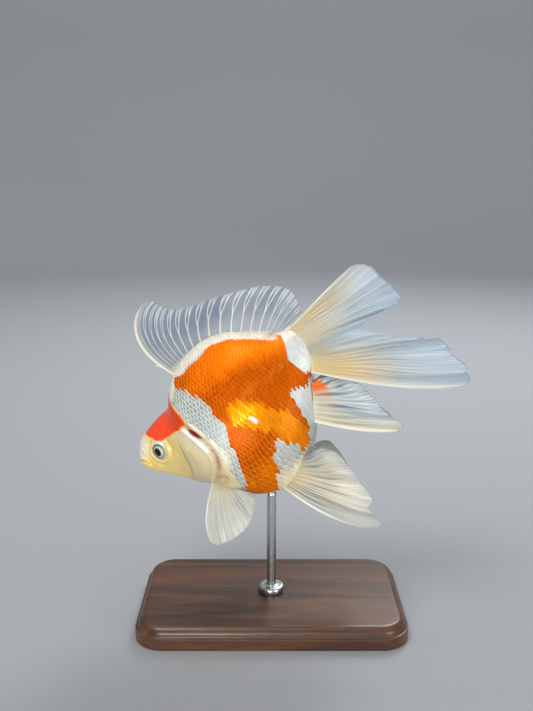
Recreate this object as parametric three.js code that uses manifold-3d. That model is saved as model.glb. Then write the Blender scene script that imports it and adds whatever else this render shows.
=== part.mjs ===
// A ryukin goldfish at life size, swimming nose down on a plain display stand.
// Millimetres and degrees. The fish is modelled in its own frame: x runs back from the snout to the tail,
// y to the fish's right and z up its back. It is then banked and tilted as one group above the stand.
import * as THREE from "three";
import { mergeVertices } from "three/addons/utils/BufferGeometryUtils.js";
import Module from "manifold-3d";

const wasm = await Module();
wasm.setup();

// ---------- driving dimensions ----------
const pose = { roll: 6, noseDown: 33, yaw: 4, beneath: 30 }; // beneath: room from the base to the lowest fin
const gap = 0.3; // between neighbouring solids
const tidyTo = 0.1; // the most a face may move when slivers are tidied
const skinDetail = { rings: 34, around: 34 };
const mouth = {
  halfWidth: 2.6,
  line: [[-4, 0.6], [0.8, 0.1], [3.1, -1.0], [3.1, -1.5], [0.8, -0.5], [-4, -0.4]],
};
const nostril = { along: 0.19, round: 56, radius: 0.75 }; // degrees round from the back
const eye = { at: [13.0, 9.95, 0], radius: 4.7, facing: [-0.7, 1, 0.06], sunk: 1.8, detail: 8 };
const gillCover = { thick: 1.8 };
const stand = { long: 112, deep: 66, high: 9, corner: 12, chamfer: 1.2, rodRadius: 2, collarRadius: 5.5 };
const rodStation = 0.541; // along the body, where the rod meets the belly

// The body's sections from the lips to the tail root. Each runs from a point on the back to a point on the
// belly: [back x, back z, belly x, belly z, half width, share of the depth above the widest level, ridge]
const sections = [
  [0.3, 0.7, -0.45, -1.3, 1.9, 0.5, 1.0],
  [1.3, 3.2, -0.2, -3.6, 4.0, 0.5, 0.95],
  [2.7, 5.9, 1.9, -6.5, 5.8, 0.5, 0.9],
  [5.2, 8.1, 6.0, -10.0, 7.9, 0.5, 0.86],
  [10.6, 10.2, 12.0, -15.5, 10.4, 0.5, 0.85],
  [17.0, 12.0, 17.2, -20.3, 13.4, 0.5, 0.86],
  [22.4, 13.2, 22.4, -24.8, 16.4, 0.52, 0.95],
  [26.6, 18.6, 28.0, -30.6, 18.7, 0.56, 1.12],
  [33.0, 24.4, 35.0, -37.2, 20.0, 0.59, 1.25],
  [41.8, 28.3, 43.4, -41.1, 20.0, 0.6, 1.3],
  [51.2, 29.4, 52.2, -41.2, 18.6, 0.59, 1.3],
  [60.4, 27.2, 60.4, -37.8, 16.0, 0.57, 1.25],
  [68.6, 22.3, 67.4, -31.6, 12.7, 0.55, 1.15],
  [75.6, 17.4, 72.8, -24.8, 9.3, 0.5, 1.05],
  [80.6, 15.3, 77.6, -15.6, 6.4, 0.46, 1.0],
  [84.4, 15.3, 82.0, -7.6, 4.6, 0.46, 1.0],
  [87.4, 13.4, 87.0, -5.0, 3.2, 0.5, 1.0],
];

// The gill cover's edges in side view, from top to bottom, and the line where the trunk ends
const gillEdge = [
  [23.4, 15.5], [25.0, 9.0], [28.2, 3.2], [31.6, -4.2], [33.2, -11.0], [31.2, -17.2], [25.6, -22.0],
  [20.2, -27.5],
];
const coverLoop = [
  [27.6, 5.2], [31.8, -1.0], [35.5, -10.0], [33.5, -17.5], [26.0, -21.4], [21.4, -17.6], [20.0, -11.5],
  [20.7, -4.6], [23.4, 1.0],
];
const stemEdge = [
  [76.4, 26.0], [77.2, 14.0], [78.6, 4.0], [80.4, -4.0], [84.0, -11.0], [90.0, -17.0],
];

// A fin is a fan of rays from a base line. Each row is one ray:
// [place along the base, tip x, tip z, curl in degrees, tip's distance from the midline]
const dorsalFin = {
  base: [[32.2, 0, 22.6], [42.6, 0, 26.6], [54.6, 0, 26.8], [66.6, 0, 21.6], [78.2, 0, 14.4]],
  rays: [
    [0, 38.5, 55.3, -122, 1.5],
    [0.045, 40.7, 54.6, -114, 2.5],
    [0.1, 42.3, 51.3, -96, 3],
    [0.17, 44.7, 48.1, -76, 3],
    [0.27, 51.0, 44.7, -55, 2],
    [0.42, 61.5, 42.3, -45, 0],
    [0.6, 73.6, 38.8, -42, -1.5],
    [0.75, 83.9, 35.2, -34, -1.5],
    [0.88, 91.2, 29.8, -26, -1],
    [0.95, 93.1, 24.0, -14, -0.5],
    [1, 91.8, 17.6, -4, 0],
  ],
  halfThick: [1.3, 0.3],
  belly: 0,
  detail: [22, 7],
};
const upperTail = {
  base: [[82.4, 1.5, 14.2], [84.6, 2.2, 9.4], [85.6, 2.6, 4.4]],
  rays: [
    [0, 119.5, 22.9, -4, 9],
    [0.1, 124.1, 20.8, -2, 10],
    [0.22, 127.0, 16.5, 0, 11],
    [0.35, 128.2, 11.0, -3, 12],
    [0.5, 129.5, 5.5, -6, 13],
    [0.6, 129.9, 1.7, -8, 13],
    [0.7, 126.2, 0.7, -8, 12],
    [0.8, 121.6, 0.9, -8, 11],
    [0.9, 115.1, 1.0, -6, 10],
    [1, 107.1, 0.3, -4, 9],
  ],
  halfThick: [1.2, 0.3],
  belly: 1,
  detail: [12, 7],
};
const lowerTail = {
  base: [[85.6, 2.6, 3.8], [85.0, 2.8, -1], [82.4, 2.6, -5.6]],
  rays: [
    [0, 107.1, -0.5, -8, 10],
    [0.09, 111.4, -2.5, -10, 12],
    [0.18, 117.0, -6.4, -12, 14],
    [0.27, 121.6, -11.3, -12, 16],
    [0.36, 127.9, -15.4, -10, 18],
    [0.45, 134.4, -18.6, -8, 19],
    [0.55, 135.1, -24.8, -4, 20],
    [0.67, 137.0, -30.1, 0, 21],
    [0.79, 136.6, -35.1, 5, 21],
    [0.9, 135.3, -38.4, 10, 21],
    [1, 130.7, -38.8, 16, 20],
  ],
  halfThick: [1.2, 0.3],
  belly: 2,
  detail: [14, 8],
};
const analFin = {
  base: [[71.6, 2.4, -22.8], [76.8, 3, -16.2], [80.2, 3, -9.4]],
  rays: [
    [0, 99.9, -43.6, 18, 8],
    [0.12, 103.2, -42.0, 14, 9],
    [0.25, 102.2, -38.3, 4, 9],
    [0.4, 100.0, -33.5, 0, 9],
    [0.55, 99.1, -27.8, -3, 9],
    [0.7, 97.9, -21.7, -6, 8],
    [0.83, 95.9, -17.3, -10, 5.5],
    [0.93, 91.8, -12.4, -14, 3.5],
    [1, 88.3, -10.0, -16, 2],
  ],
  halfThick: [1, 0.3],
  belly: 1,
  detail: [10, 6],
};
const pelvicFin = {
  base: [[46.4, 5, -38.0], [53.4, 6, -36.2], [60.2, 6, -33.2]],
  rays: [
    [0, 72.5, -72.9, 34, 12],
    [0.09, 75.5, -71.4, 27, 13],
    [0.2, 75.4, -66.5, 16, 14],
    [0.27, 74.4, -63.0, 11, 14],
    [0.31, 77.8, -61.0, 9, 14],
    [0.48, 77.3, -54.2, 2, 13],
    [0.63, 76.7, -47.7, -4, 12],
    [0.78, 75.8, -40.9, -8, 11],
    [0.9, 73.9, -36.2, -12, 10],
    [1, 70.8, -33.2, -14, 9],
  ],
  halfThick: [1.1, 0.3],
  belly: 2,
  detail: [10, 6],
};
const pectoralFin = {
  base: [[24.4, 11.5, -22.6], [28.0, 12.5, -26.0], [31.4, 12.5, -29.0]],
  rays: [
    [0, 13.0, -41.7, 46, 20],
    [0.1, 14.1, -43.8, 34, 20],
    [0.25, 19.4, -45.2, 12, 20],
    [0.42, 25.0, -45.2, 0, 19],
    [0.58, 30.0, -43.7, -10, 18],
    [0.74, 34.0, -40.4, -18, 17],
    [0.88, 36.3, -37.5, -24, 15],
    [1, 37.3, -35.5, -28, 13],
  ],
  halfThick: [0.9, 0.3],
  belly: 1,
  detail: [10, 5],
};
// Where the two sides differ: a fin's rays are turned about their roots (degrees) and scaled by `reach`
const still = [0, 0, 0];
const fins = [
  { name: "dorsal_fin", fan: dorsalFin, side: 1, turn: still, reach: 1 },
  { name: "anal_fin_left", fan: analFin, side: -1, turn: still, reach: 1 },
  { name: "anal_fin_right", fan: analFin, side: 1, turn: [0, 1, 3], reach: 0.9 },
  { name: "pelvic_fin_left", fan: pelvicFin, side: -1, turn: still, reach: 1 },
  { name: "pelvic_fin_right", fan: pelvicFin, side: 1, turn: [4, 10, 0], reach: 0.9 },
  { name: "pectoral_fin_left", fan: pectoralFin, side: -1, turn: still, reach: 1 },
  { name: "pectoral_fin_right", fan: pectoralFin, side: 1, turn: [20, -35, 0], reach: 1 },
  { name: "tail_fin_left_upper", fan: upperTail, side: -1, turn: still, reach: 1 },
  { name: "tail_fin_left_lower", fan: lowerTail, side: -1, turn: still, reach: 1 },
  { name: "tail_fin_right_upper", fan: upperTail, side: 1, turn: [0, 1, 4], reach: 0.95 },
  { name: "tail_fin_right_lower", fan: lowerTail, side: 1, turn: [0, 6.5, 3], reach: 0.93 },
];
const shortSpine = { root: [32.0, 22.0], tip: [27.4, 31.0], radius: 0.55 }; // in front of the dorsal fin

const colours = {
  skin: 0xf2e2b8, saddle: 0xe8641a, cover: 0xf0e6cc, fin: 0xe9e6dc, iris: 0x1a1d22,
  base: 0x3a2a20, rod: 0xb8babd,
};

// ---------- small tools ----------
const degrees = THREE.MathUtils.degToRad;
const lerp = THREE.MathUtils.lerp;
const smooth = (x, from, to) => THREE.MathUtils.smoothstep(x, from, to);

// A smooth curve through points, each of two or three numbers
function curveThrough(points, closed = false) {
  return new THREE.CatmullRomCurve3(points.map((p) => new THREE.Vector3(...p)), closed, "catmullrom", 0.5);
}

// The rows of a table blended smoothly at share t of the way down it
function rowAt(table, t) {
  const halves = [0, 3].map((c) => curveThrough(table.map((row) => [row[c], row[c + 1], row[c + 2] ?? 0])));
  return halves.flatMap((half) => half.getPoint(t).toArray());
}

// A closed mesh as a solid that can be joined and cut
function solidOf(geometry) {
  const bare = geometry.clone();
  bare.deleteAttribute("normal");
  bare.deleteAttribute("uv");
  const merged = mergeVertices(bare, 1e-4);
  return new wasm.Manifold(new wasm.Mesh({
    numProp: 3,
    vertProperties: new Float32Array(merged.attributes.position.array),
    triVerts: new Uint32Array(merged.index.array),
  }));
}

// A solid back as a geometry, with slivers tidied away; of several loose bits the largest is kept
function geometryOf(solid) {
  const largest = solid.simplify(tidyTo).decompose().sort((a, b) => b.volume() - a.volume())[0];
  const mesh = largest.getMesh();
  const geometry = new THREE.BufferGeometry();
  geometry.setAttribute("position", new THREE.BufferAttribute(mesh.vertProperties, mesh.numProp));
  geometry.setIndex(new THREE.BufferAttribute(mesh.triVerts, 1));
  geometry.computeVertexNormals();
  return geometry;
}

// A closed solid from rows of points: each row is a ring, and a fan closes each end
function ringSolid(rings) {
  const around = rings[0].length;
  const middle = (ring) => ring.reduce((sum, p) => sum.add(p), new THREE.Vector3()).divideScalar(around);
  const points = [...rings.flat(), middle(rings[0]), middle(rings.at(-1))];
  const index = [];
  const at = (i, j) => i * around + (j % around);
  for (let j = 0; j < around; j++) {
    index.push(points.length - 2, at(0, j + 1), at(0, j));
    index.push(points.length - 1, at(rings.length - 1, j), at(rings.length - 1, j + 1));
    for (let i = 0; i + 1 < rings.length; i++) {
      index.push(at(i, j), at(i, j + 1), at(i + 1, j), at(i, j + 1), at(i + 1, j + 1), at(i + 1, j));
    }
  }
  const geometry = new THREE.BufferGeometry().setFromPoints(points).setIndex(index);
  const solid = solidOf(geometry);
  if (solid.volume() > 0) return solid;
  for (let i = 0; i < index.length; i += 3) [index[i + 1], index[i + 2]] = [index[i + 2], index[i + 1]];
  return solidOf(geometry.setIndex(index));
}

// A closed outline grown by `grow`: each point moves out along the normal to its neighbours' chord
function grown(outline, grow) {
  return outline.map((point, i) => {
    const chord = outline[(i + 1) % outline.length].clone().sub(outline.at(i - 1)).normalize();
    return new THREE.Vector2(point.x + chord.y * grow, point.y - chord.x * grow);
  });
}

// A prism across the whole fish, from an outline in side view that may be grown by `grow`
function prism(outline, grow = 0, from = -60, to = 60) {
  const points = outline.map(([x, z]) => new THREE.Vector2(x, z));
  if (THREE.ShapeUtils.isClockWise(points)) points.reverse();
  const shape = new THREE.Shape(grow === 0 ? points : grown(points, grow));
  const block = new THREE.ExtrudeGeometry(shape, { depth: to - from, bevelEnabled: false });
  return solidOf(block.rotateX(Math.PI / 2).translate(0, to, 0)); // the outline's second axis becomes z
}

// Points along a smooth edge, every so often
const smoothEdge = (points, count = 14, closed = false) =>
  curveThrough(points.map(([x, z]) => [x, 0, z]), closed).getPoints(count).map((p) => [p.x, p.z]);
const shifted = (edge, dx) => edge.map(([x, z]) => [x + dx, z]);

// ---------- body ----------
const backLine = curveThrough(sections.map((s) => [s[0], 0, s[1]]));
const bellyLine = curveThrough(sections.map((s) => [s[2], 0, s[3]]));
const girth = curveThrough(sections.map((s) => [s[4], s[5], s[6]]));

// A point on the skin: t from lips to tail root, angle from the back (0) round the right side
function bodyPoint(t, angle) {
  const [width, share, ridge] = girth.getPoint(t).toArray();
  const down = Math.abs(angle > Math.PI ? 2 * Math.PI - angle : angle);
  const c = Math.cos(down);
  const depth = c > 0 ? share * (1 - c) : share - (1 - share) * c;
  const point = backLine.getPoint(t).lerp(bellyLine.getPoint(t), depth);
  const sharpness = lerp(ridge, 1, smooth(down, 0, Math.PI * 0.6));
  point.y = Math.sign(Math.PI - angle) * width * Math.pow(Math.max(Math.sin(down), 0), sharpness);
  return point;
}

function bodyNormal(t, angle) {
  const step = 1e-3;
  const along = bodyPoint(Math.min(t + step, 1), angle).sub(bodyPoint(Math.max(t - step, 0), angle));
  const round = bodyPoint(t, angle + step).sub(bodyPoint(t, angle - step));
  return along.cross(round).normalize();
}

// The whole body, grown (or shrunk) by `grow` all round
function bodySolid(grow) {
  const { rings, around } = skinDetail;
  const ringAt = (i) => {
    const t = Math.pow(i / rings, 1.15);
    return Array.from({ length: around }, (_, j) => {
      const angle = ((j + 0.5) / around) * 2 * Math.PI;
      return bodyPoint(t, angle).addScaledVector(bodyNormal(t, angle), grow);
    });
  };
  return ringSolid(Array.from({ length: rings + 1 }, (_, i) => ringAt(i)));
}

// ---------- fins ----------
// A ray's shape before it is set on its root: straight on at first, then turning by `curl` degrees in all
function curledLine(curl, steps) {
  const line = [new THREE.Vector2(0, 0)];
  for (let k = 0; k < steps; k++) {
    const heading = degrees(curl) * ((k + 0.5) / steps) ** 2;
    line.push(line[k].clone().add(new THREE.Vector2(Math.cos(heading), Math.sin(heading))));
  }
  return line;
}

// The middle surface of a fin: rows of points, one row for each ray
function finRays({ fan, side, turn, reach }) {
  const [rayCount, steps] = fan.detail;
  const base = curveThrough(fan.base);
  const euler = new THREE.Euler(...turn.map(degrees));
  return Array.from({ length: rayCount + 1 }, (_, i) => {
    const [place, tipX, tipZ, curl, tipY] = rowAt(fan.rays, i / rayCount);
    const root = base.getPoint(THREE.MathUtils.clamp(place, 0, 1));
    root.y *= side;
    const span = new THREE.Vector3(tipX, tipY * side, tipZ).sub(root).applyEuler(euler).multiplyScalar(reach);
    const line = curledLine(curl, steps);
    const end = line[steps];
    const scale = Math.hypot(span.x, span.z) / end.length();
    const bearing = Math.atan2(span.z, span.x) - end.angle();
    return line.map((p, k) => {
      const r = k / steps;
      const flat = p.clone().rotateAround(new THREE.Vector2(0, 0), bearing).multiplyScalar(scale);
      const sideways = span.y * r + side * fan.belly * 4 * r * (1 - r);
      return new THREE.Vector3(flat.x, sideways, flat.y).add(root);
    });
  });
}

// A closed solid of two faces either side of a middle surface
function finSolid(fin) {
  const rays = finRays(fin);
  const [across, steps] = [rays.length - 1, rays[0].length - 1];
  const normalAt = (i, k) => {
    const alongRay = rays[i][Math.min(k + 1, steps)].clone().sub(rays[i][Math.max(k - 1, 0)]);
    const acrossRays = rays[Math.min(i + 1, across)][k].clone().sub(rays[Math.max(i - 1, 0)][k]);
    return alongRay.cross(acrossRays).normalize();
  };
  const [rootHalf, tipHalf] = fin.fan.halfThick;
  const rings = rays.map((ray, i) => {
    const face = (sign) => ray.map((p, k) =>
      p.clone().addScaledVector(normalAt(i, k), sign * lerp(rootHalf, tipHalf, Math.sqrt(k / steps))));
    return [...face(1), ...face(-1).reverse()];
  });
  return ringSolid(rings);
}

// ---------- head, gill covers, trunk and tail stem ----------
function eyeSolid(side, grow) {
  const facing = new THREE.Vector3(eye.facing[0], side * eye.facing[1], eye.facing[2]).normalize();
  const centre = new THREE.Vector3(eye.at[0], side * eye.at[1], eye.at[2]).addScaledVector(facing, -eye.sunk);
  const ball = new THREE.SphereGeometry(eye.radius + grow, eye.detail * 2, eye.detail);
  return solidOf(ball.translate(...centre.toArray()));
}

function nostrilSolid(side) {
  const angle = degrees(side > 0 ? nostril.round : 360 - nostril.round);
  const pit = new THREE.SphereGeometry(nostril.radius, 8, 5);
  return solidOf(pit.translate(...bodyPoint(nostril.along, angle).toArray()));
}

function fleshSolids() {
  const body = bodySolid(0);
  const edge = smoothEdge(gillEdge);
  const front = prism([...edge, [-10, -40], [-10, 30]]);
  const behind = prism([...shifted(edge, gap), [-10, -40], [-10, 30]]);
  const stemLine = smoothEdge(stemEdge, 10);
  const stemEnds = [[100, -17], [100, 26]];
  const stem = body.intersect(prism([...stemLine, ...stemEnds]));
  const sockets = eyeSolid(-1, gap).add(eyeSolid(1, gap));
  const lips = prism(mouth.line, 0, -mouth.halfWidth, mouth.halfWidth);
  let head = body.intersect(front).subtract(sockets).subtract(lips);
  for (const side of [-1, 1]) head = head.subtract(nostrilSolid(side));
  const trunk = body.subtract(behind).subtract(prism([...shifted(stemLine, -gap), ...stemEnds]));

  const underCover = bodySolid(-gillCover.thick);
  const underPocket = bodySolid(-gillCover.thick - gap);
  const outline = smoothEdge(coverLoop, 40, true).slice(1);
  const covers = [-1, 1].map((side) => {
    const [from, to] = side < 0 ? [-60, 0] : [0, 60];
    head = head.subtract(prism(outline, gap, from, to).subtract(underPocket));
    return body.intersect(prism(outline, -0.05, from, to)).intersect(front).subtract(underCover);
  });
  return { head, trunk, stem, covers };
}

// ---------- stand ----------
function rodFoot(fish) {
  const belly = bellyLine.getPoint(rodStation);
  return fish.localToWorld(belly);
}

function baseGeometry() {
  const { long, deep, corner, high, chamfer } = stand;
  const [w, d, r] = [long / 2 - chamfer, deep / 2 - chamfer, corner - chamfer];
  const shape = new THREE.Shape();
  shape.absarc(w - r, d - r, r, 0, Math.PI / 2);
  shape.absarc(-w + r, d - r, r, Math.PI / 2, Math.PI);
  shape.absarc(-w + r, -d + r, r, Math.PI, Math.PI * 1.5);
  shape.absarc(w - r, -d + r, r, Math.PI * 1.5, Math.PI * 2);
  const bevel = { bevelThickness: chamfer, bevelSize: chamfer, bevelSegments: 1 };
  const depth = high - 2 * chamfer;
  return new THREE.ExtrudeGeometry(shape, { depth, curveSegments: 4, ...bevel }).translate(0, 0, chamfer);
}

function uprightCylinder(radius, from, to, sides = 24) {
  const geometry = new THREE.CylinderGeometry(radius, radius, to - from, sides);
  return geometry.rotateX(Math.PI / 2).translate(0, 0, (from + to) / 2);
}

// ---------- the whole thing ----------
function mesh(name, geometry, colour, roughness = 0.45, metalness = 0) {
  const material = new THREE.MeshStandardMaterial({ color: colour, roughness, metalness });
  const made = new THREE.Mesh(geometry, material);
  made.name = name;
  return made;
}

function spineSolid() {
  const [root, tip] = [new THREE.Vector3(shortSpine.root[0], 0, shortSpine.root[1]),
    new THREE.Vector3(shortSpine.tip[0], 0, shortSpine.tip[1])];
  const length = root.distanceTo(tip);
  const cone = new THREE.CylinderGeometry(shortSpine.radius * 0.6, shortSpine.radius, length, 10);
  const turn = new THREE.Quaternion().setFromUnitVectors(
    new THREE.Vector3(0, 1, 0), tip.clone().sub(root).normalize());
  cone.applyQuaternion(turn).translate(...root.add(tip).divideScalar(2).toArray());
  return solidOf(cone);
}

function buildFish() {
  const fish = new THREE.Group();
  const { head, trunk, stem, covers } = fleshSolids();
  const clear = bodySolid(gap);
  fish.add(mesh("head", geometryOf(head), colours.skin));
  fish.add(mesh("trunk", geometryOf(trunk), colours.saddle));
  fish.add(mesh("tail_stem", geometryOf(stem), colours.skin));
  [["left", -1], ["right", 1]].forEach(([word, side], i) => {
    fish.add(mesh(`gill_cover_${word}`, geometryOf(covers[i]), colours.cover));
    fish.add(mesh(`eye_${word}`, geometryOf(eyeSolid(side, 0)), colours.iris, 0.1));
  });
  for (const fin of fins) {
    fish.add(mesh(fin.name, geometryOf(finSolid(fin).subtract(clear)), colours.fin));
  }
  const dorsal = finSolid(fins[0]);
  fish.add(mesh("dorsal_spine", geometryOf(spineSolid().subtract(clear).subtract(dorsal)), colours.fin));
  return fish;
}

const part = new THREE.Group();
const fish = buildFish();
const turns = [-pose.roll, -pose.noseDown, -pose.yaw].map(degrees);
fish.rotation.set(...turns, "ZYX");
part.add(fish);
part.updateMatrixWorld(true);
const low = new THREE.Box3().setFromObject(fish, true).min.z;
fish.position.z = stand.high + pose.beneath - low;
part.updateMatrixWorld(true);

const foot = rodFoot(fish);
const clearBody = solidOf(geometryOf(bodySolid(gap)).applyMatrix4(fish.matrixWorld));
const rod = solidOf(uprightCylinder(stand.rodRadius, stand.high + 3 + gap, foot.z + 12)
  .translate(foot.x, foot.y, 0)).subtract(clearBody);
const collar = solidOf(uprightCylinder(stand.collarRadius, stand.high + gap, stand.high + 3)
  .translate(foot.x, foot.y, 0));
part.add(mesh("stand_base", baseGeometry().translate(foot.x, foot.y, 0), colours.base, 0.5));
part.add(mesh("stand_collar", geometryOf(collar), colours.rod, 0.3, 1));
part.add(mesh("stand_rod", geometryOf(rod), colours.rod, 0.3, 1));

// The origin is the middle of the whole thing's footprint, on the floor
const box = new THREE.Box3().setFromObject(part, true);
const middle = box.getCenter(new THREE.Vector3());
for (const child of part.children) child.position.sub(new THREE.Vector3(middle.x, middle.y, box.min.z));

export default part;
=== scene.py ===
# A ryukin goldfish as a museum model on a display stand: skin, scales, fins and eyes around the packed
# solids. The fish is worked out in its own frame in millimetres (x back from the snout, y to its right, z
# up its back), and each finished piece is put into the frame's metres.
import math

import bpy
import numpy as np
from mathutils import Euler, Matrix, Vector


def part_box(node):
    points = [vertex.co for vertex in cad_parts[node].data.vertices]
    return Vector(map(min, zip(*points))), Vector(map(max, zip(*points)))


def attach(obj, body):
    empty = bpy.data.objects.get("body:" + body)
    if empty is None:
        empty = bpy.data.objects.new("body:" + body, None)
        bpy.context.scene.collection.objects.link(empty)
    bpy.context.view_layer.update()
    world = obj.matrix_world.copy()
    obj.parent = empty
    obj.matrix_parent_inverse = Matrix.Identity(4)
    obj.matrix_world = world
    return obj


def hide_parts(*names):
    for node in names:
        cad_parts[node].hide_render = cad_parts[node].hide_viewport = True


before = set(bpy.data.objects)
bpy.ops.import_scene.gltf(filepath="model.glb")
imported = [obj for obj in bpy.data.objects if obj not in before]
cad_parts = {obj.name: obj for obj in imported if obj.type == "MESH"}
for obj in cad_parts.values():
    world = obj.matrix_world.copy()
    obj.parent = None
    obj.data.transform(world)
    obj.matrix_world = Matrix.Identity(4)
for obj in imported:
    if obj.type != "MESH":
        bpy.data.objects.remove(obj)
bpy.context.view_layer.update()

print("frame loaded:", len(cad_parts), "nodes")
circle = 2 * math.pi

# ---- small tools: colours, curves, meshes and nodes ----


def linear(hexText):
    # sRGB to linear light: c / 12.92 when dark, else ((c + 0.055) / 1.055) to the power 2.4
    c = np.array([int(hexText[i:i + 2], 16) for i in (1, 3, 5)]) / 255
    return np.where(c <= 0.04045, c / 12.92, ((c + 0.055) / 1.055) ** 2.4)


def blend(first, second, share):
    # first colour to second by a share from 0 to 1, for whole arrays
    share = np.clip(np.asarray(share, float), 0, 1)[..., None]
    return first * (1 - share) + second * share


def palette(entries):
    return {key: linear(value) for key, value in entries.items()}


def layered(table, base, *layers):
    # colours laid over a base in turn, each by its own share; a colour is a key of the table or an array
    found = lambda colour: table[colour] if isinstance(colour, str) else colour
    made = found(base)
    for colour, share in layers:
        made = blend(made, found(colour), share)
    return made


def opaque(colours):
    # an alpha of 1 after each colour
    return np.concatenate([colours, np.ones((*np.shape(colours)[:-1], 1))], -1)


def ease(x, low, high):
    # 0 below low, 1 above high, and 3f² - 2f³ between
    f = np.clip((x - low) / (high - low), 0, 1)
    return f * f * (3 - 2 * f)


def bell(x, width):
    # e to the minus (x / width) squared
    return np.exp(-(x / width) ** 2)


def unit(v):
    return v / np.maximum(np.linalg.norm(v, axis=-1, keepdims=True), 1e-12)


def alongTable(table, place):
    # the rows of a table blended by a Catmull-Rom curve, from the first row at 0 to the last at 1
    table = np.asarray(table, float)
    rows = np.vstack([2 * table[0] - table[1], table, 2 * table[-1] - table[-2]])
    spot = np.clip(place, 0, 1) * (len(table) - 1)
    k = np.minimum(spot.astype(int), len(table) - 2)
    f = (spot - k)[..., None]
    a, b, c, d = rows[k], rows[k + 1], rows[k + 2], rows[k + 3]
    return 0.5 * (2 * b + (c - a) * f + (2 * a - 5 * b + 4 * c - d) * f**2 + (3 * b - a - 3 * c + d) * f**3)


def smoothLine(points, count=60, closed=False):
    # points along a smooth curve through the given ones
    points = list(points) + ([points[0]] if closed else [])
    return alongTable(points, np.linspace(0, 1, count))


def lineDistance(x, z, line):
    # each point's distance to the nearest of the line's segments, and how far along the line that is (0 to 1)
    start, step = line[:-1], np.diff(line, axis=0)
    px, pz = x[..., None] - start[:, 0], z[..., None] - start[:, 1]
    f = np.clip((px * step[:, 0] + pz * step[:, 1]) / (step**2).sum(1), 0, 1)
    d = np.hypot(px - f * step[:, 0], pz - f * step[:, 1])
    nearest = d.argmin(-1)
    pick = lambda a: np.take_along_axis(a, nearest[..., None], -1)[..., 0]
    return pick(d), (nearest + pick(f)) / len(step)


def insideLoop(x, z, loop):
    # signed distance to a closed loop, positive inside, where a ray to +x crosses it an odd number of times
    closed = np.vstack([loop, loop[:1]])
    (x0, z0), (x1, z1) = closed[:-1].T, closed[1:].T
    rise = np.where(z1 == z0, 1e-9, z1 - z0)
    crosses = ((z0 > z[..., None]) != (z1 > z[..., None])) & (
        x[..., None] < x0 + (z[..., None] - z0) * (x1 - x0) / rise)
    return np.where(crosses.sum(-1) % 2 == 1, 1, -1) * lineDistance(x, z, closed)[0]


def waves(x, z, size, seed=0):
    # a smooth random-looking field from -1 to 1: the mean of five crossing sine waves about `size` mm long
    rng = np.random.default_rng(seed)
    total = 0
    for _ in range(5):
        bearing, phase, stretch = (rng.uniform(*span) for span in ((0, circle), (0, circle), (0.7, 1.4)))
        ahead = x * math.cos(bearing) + z * math.sin(bearing)
        total = total + np.sin(ahead * circle / size * stretch + phase)
    return total / 5


def gridFaces(rows, columns, wrap=False):
    # the quads of a grid of points, corners in the order row, next row, next column; wrap joins the ends
    i, j = np.meshgrid(np.arange(rows - 1), np.arange(columns if wrap else columns - 1), indexing="ij")
    ahead = (j + 1) % columns
    corners = [i * columns + j, (i + 1) * columns + j, (i + 1) * columns + ahead, i * columns + ahead]
    return np.stack(corners, -1).reshape(-1, 4)


def gridNormals(points, wrap=False):
    # the cross product of the steps to the neighbours along and across the grid
    along = np.gradient(points, axis=0)
    if wrap:
        across = (np.roll(points, -1, 1) - np.roll(points, 1, 1)) / 2
    else:
        across = np.gradient(points, axis=1)
    return unit(np.cross(along, across))


def makePiece(name, points, faces, material, replaces=(), tint=None, maps=None):
    # points: n x 3 in metres. faces: arrays of corners. tint: n x 4. maps: name -> one u, v for each corner
    mesh = bpy.data.meshes.new(name)
    corners = np.concatenate([f.ravel() for f in faces]).astype(np.int32)
    sizes = np.concatenate([np.full(len(f), f.shape[1]) for f in faces]).astype(np.int32)
    mesh.vertices.add(len(points))
    mesh.vertices.foreach_set("co", np.asarray(points, np.float32).ravel())
    mesh.loops.add(len(corners))
    mesh.loops.foreach_set("vertex_index", corners)
    mesh.polygons.add(len(sizes))
    mesh.polygons.foreach_set("loop_start", (np.cumsum(sizes) - sizes).astype(np.int32))
    mesh.polygons.foreach_set("use_smooth", np.ones(len(sizes), bool))
    mesh.update(calc_edges=True)
    if tint is not None:
        colours = mesh.color_attributes.new("tint", "FLOAT_COLOR", "POINT")
        colours.data.foreach_set("color", np.asarray(tint, np.float32).ravel())
    for key, places in (maps or {}).items():
        layer = mesh.uv_layers.new(name=key)
        layer.data.foreach_set("uv", np.asarray(places, np.float32).ravel())
    mesh.materials.append(material)
    piece = bpy.data.objects.new(name, mesh)
    bpy.context.scene.collection.objects.link(piece)
    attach(piece, "root")
    if replaces:
        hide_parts(*replaces)
    print("  ", name, (sizes - 2).sum(), "triangles")
    return piece


def addNode(tree, kind, settings=None, inputs=None):
    # a node with its settings; an input is linked when it is given a socket, and set when given a value
    node = tree.nodes.new(kind)
    for key, value in (settings or {}).items():
        setattr(node, key, value)
    for key, value in (inputs or {}).items():
        if isinstance(value, bpy.types.NodeSocket):
            tree.links.new(value, node.inputs[key])
        else:
            node.inputs[key].default_value = value
    return node


def newMaterial(name):
    made = bpy.data.materials.new(name)
    made.use_nodes = True
    made.node_tree.nodes.clear()
    return made, made.node_tree


def finish(made, inputs):
    shader = addNode(made.node_tree, "ShaderNodeBsdfPrincipled", None, inputs)
    addNode(made.node_tree, "ShaderNodeOutputMaterial", None, {"Surface": shader.outputs[0]})
    return made


def tintOf(tree):
    # the colour and the alpha painted on the mesh
    return addNode(tree, "ShaderNodeAttribute", {"attribute_name": "tint"}).outputs


def ownPlace(tree):
    return addNode(tree, "ShaderNodeTexCoord").outputs["Object"]


def stretched(tree, vector, scale):
    return addNode(tree, "ShaderNodeMapping", None, {"Vector": vector, "Scale": scale}).outputs[0]


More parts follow.
